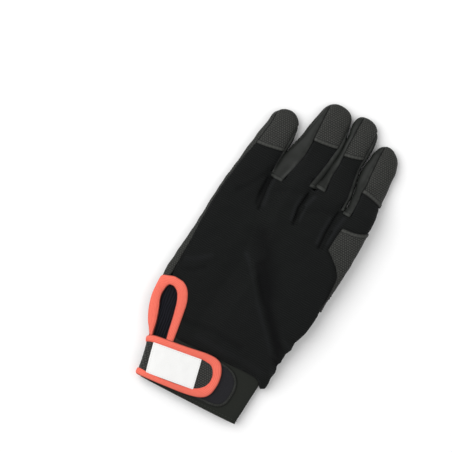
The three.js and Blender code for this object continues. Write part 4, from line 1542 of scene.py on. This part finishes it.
sheet = Sheet("cuff_back", loop_of([(-36.3, 1.4), (0.9, 8.0), (-4.8, 31.3), (-42.5, 24.6)]),
              layer=LABEL_TOP, relieved=False, detail=lambda s, t: 0.07 * waves(s, t, 9, 8))
sew("label", "label_cloth", "woven label", sheet, wall=LABEL_WALL, thread="pale thread",
    rows=[sheet.row(k, 1.1, 0.02, 1.6) for k in range(4)], pitch=1.9, length=1.4, thickness=0.3)

# The vent's tape. Outer places left of VENT_EDGE are on the back's skin already, past the silhouette

VENT_EDGE = -58.7


def vent_rim(t):
    """A place just past the back's left silhouette."""
    return back.edge(-1, t, 0.9)


vent_pairs = [
    (-29.9, 30, -36, 29), (-31.6, 40, -38.2, 38.4), (-33, 48, -39.9, 46.2), (-34.3, 55, -41.7, 53.3),
    (-35.8, 62, -43.8, 60.2), (-38.5, 68.5, -46.2, 65), (-42.5, 73.6, -48.9, 67.7), (-48, 76.1, -51.8, 68.8),
    (-53.5, 76.2, -54.4, 68.5), (-58.6, 74.6, -55.7, 66.8), (vent_rim(70), 70.5, -56.4, 63.7),
    (vent_rim(64), 64.5, -56.5, 60.4), (vent_rim(57.5), 57.5, -55.5, 55.5), (vent_rim(50), 50, -53.2, 50),
    (vent_rim(43), 43, -50.9, 44.5), (vent_rim(37), 37, -49, 38), (-52.2, 32, -47.9, 32.6),
    (-49.6, 28, -46.6, 28.8), (-47.8, 25.6, -45.6, 26.6),
]
flat_pairs = []
for a, b, c, d in vent_pairs:
    outer = (a, b) if a <= VENT_EDGE else back.locate([(a, b)])[0]
    flat_pairs.append((*outer, *back.locate([(c, d)])[0]))
piece = Piece()
add_tape(piece, "back", flat_pairs, VENT_TAPE_LOW, VENT_TAPE_TOP, row_along(back, flat_pairs, 0.8, VENT_ROW))
piece.finish("vent_binding", "coral_tape", "coral tape", "coral thread")

# Ribbed cloth inside the vent

GUSSET_DEPTH, GUSSET_WALL = 2.2, 0.8
GUSSET_RIB, GUSSET_HEIGHT = 2.1, 0.32


def gusset_folds(s, t):
    """Ribs that lean a little, and slack between them."""
    return GUSSET_HEIGHT * np.sin(TURN * (s + 0.12 * t) / GUSSET_RIB) - 0.5 * waves(s, t, 22, 3)


opening = line_across(flat_pairs[:-2], 0.72) + back.locate([(-47.6, 29.6)])
sew("vent_gusset", "black_cloth", "vent cloth", Sheet("back", [
    ("open", opening),
    ("open", [opening[-1], (-42, 26), opening[0]]),
], layer=-GUSSET_DEPTH, spacing=fine(0.6), detail=gusset_folds), wall=GUSSET_WALL)

# Pull tab under the wrist

TAB_LOW, TAB_HIGH, TAB_WALL = 0.35, 1.8, 1.4
SKINS["tab"] = Skin(lambda x, y: TAB_LOW + 0 * x + 0 * y, lambda x, y: TAB_HIGH + 0 * x + 0 * y,
                    (lambda y: -90 + 0 * y, lambda y: 90 + 0 * y), (10, 70), EDGE_MARGIN, outward=-1)
sheet = Sheet("tab", loop_of([(-31.6, 21), (-10, 21), (-7.3, 62), (-28.8, 62)]), relieved=False)
sew("pull_tab", "pebbled_leather", "grip leather", sheet, wall=TAB_WALL, thread="dark thread",
    rows=[sheet.row(k, 2.0, -0.05) for k in range(4)], thickness=0.4)

# Floor

corners = [(x * FLOOR_REACH, y * FLOOR_REACH, 0) for x, y in ((-1, -1), (1, -1), (1, 1), (-1, 1))]
mesh = bpy.data.meshes.new("floor")
mesh.from_pydata(corners, [], [(0, 1, 2, 3)])
floor = placed("floor", mesh)
paint = bpy.data.materials.new("pale floor")
paint.use_nodes = True
shader = paint.node_tree.nodes["Principled BSDF"].inputs
shader["Base Color"].default_value = FLOOR_COLOUR
shader["Roughness"].default_value = FLOOR_ROUGHNESS
mesh.materials.append(paint)

# Camera

camera = placed("camera", bpy.data.cameras.new("camera"))
look = Vector((0, 0, -1))
up = Vector(VIEW_UP).normalized()
turned = Matrix((look.cross(up), up, -look)).transposed().to_4x4()
centre = Vector(VIEW_CENTRE) * MM
camera.matrix_world = Matrix.Translation(centre + Vector((0, 0, VIEW_DISTANCE * MM))) @ turned
camera.data.sensor_width = SENSOR
camera.data.lens = SENSOR * VIEW_DISTANCE / VIEW_WIDTH
camera.data.clip_start, camera.data.clip_end = 0.05, 20
bpy.context.scene.camera = camera

# Light

for name, (place, size, power) in LIGHTS.items():
    light = bpy.data.lights.new(name, "AREA")
    light.shape, light.size, light.energy = "SQUARE", size, power
    lamp = placed(name, light)
    lamp.location = place
    lamp.rotation_euler = (-Vector(place)).to_track_quat("-Z", "Y").to_euler()
world = bpy.data.worlds.new("studio")
world.use_nodes = True
world.node_tree.nodes["Background"].inputs["Color"].default_value = (1, 1, 1, 1)
world.node_tree.nodes["Background"].inputs["Strength"].default_value = WORLD_STRENGTH
bpy.context.scene.world = world
bpy.context.scene.view_settings.view_transform = "Standard"
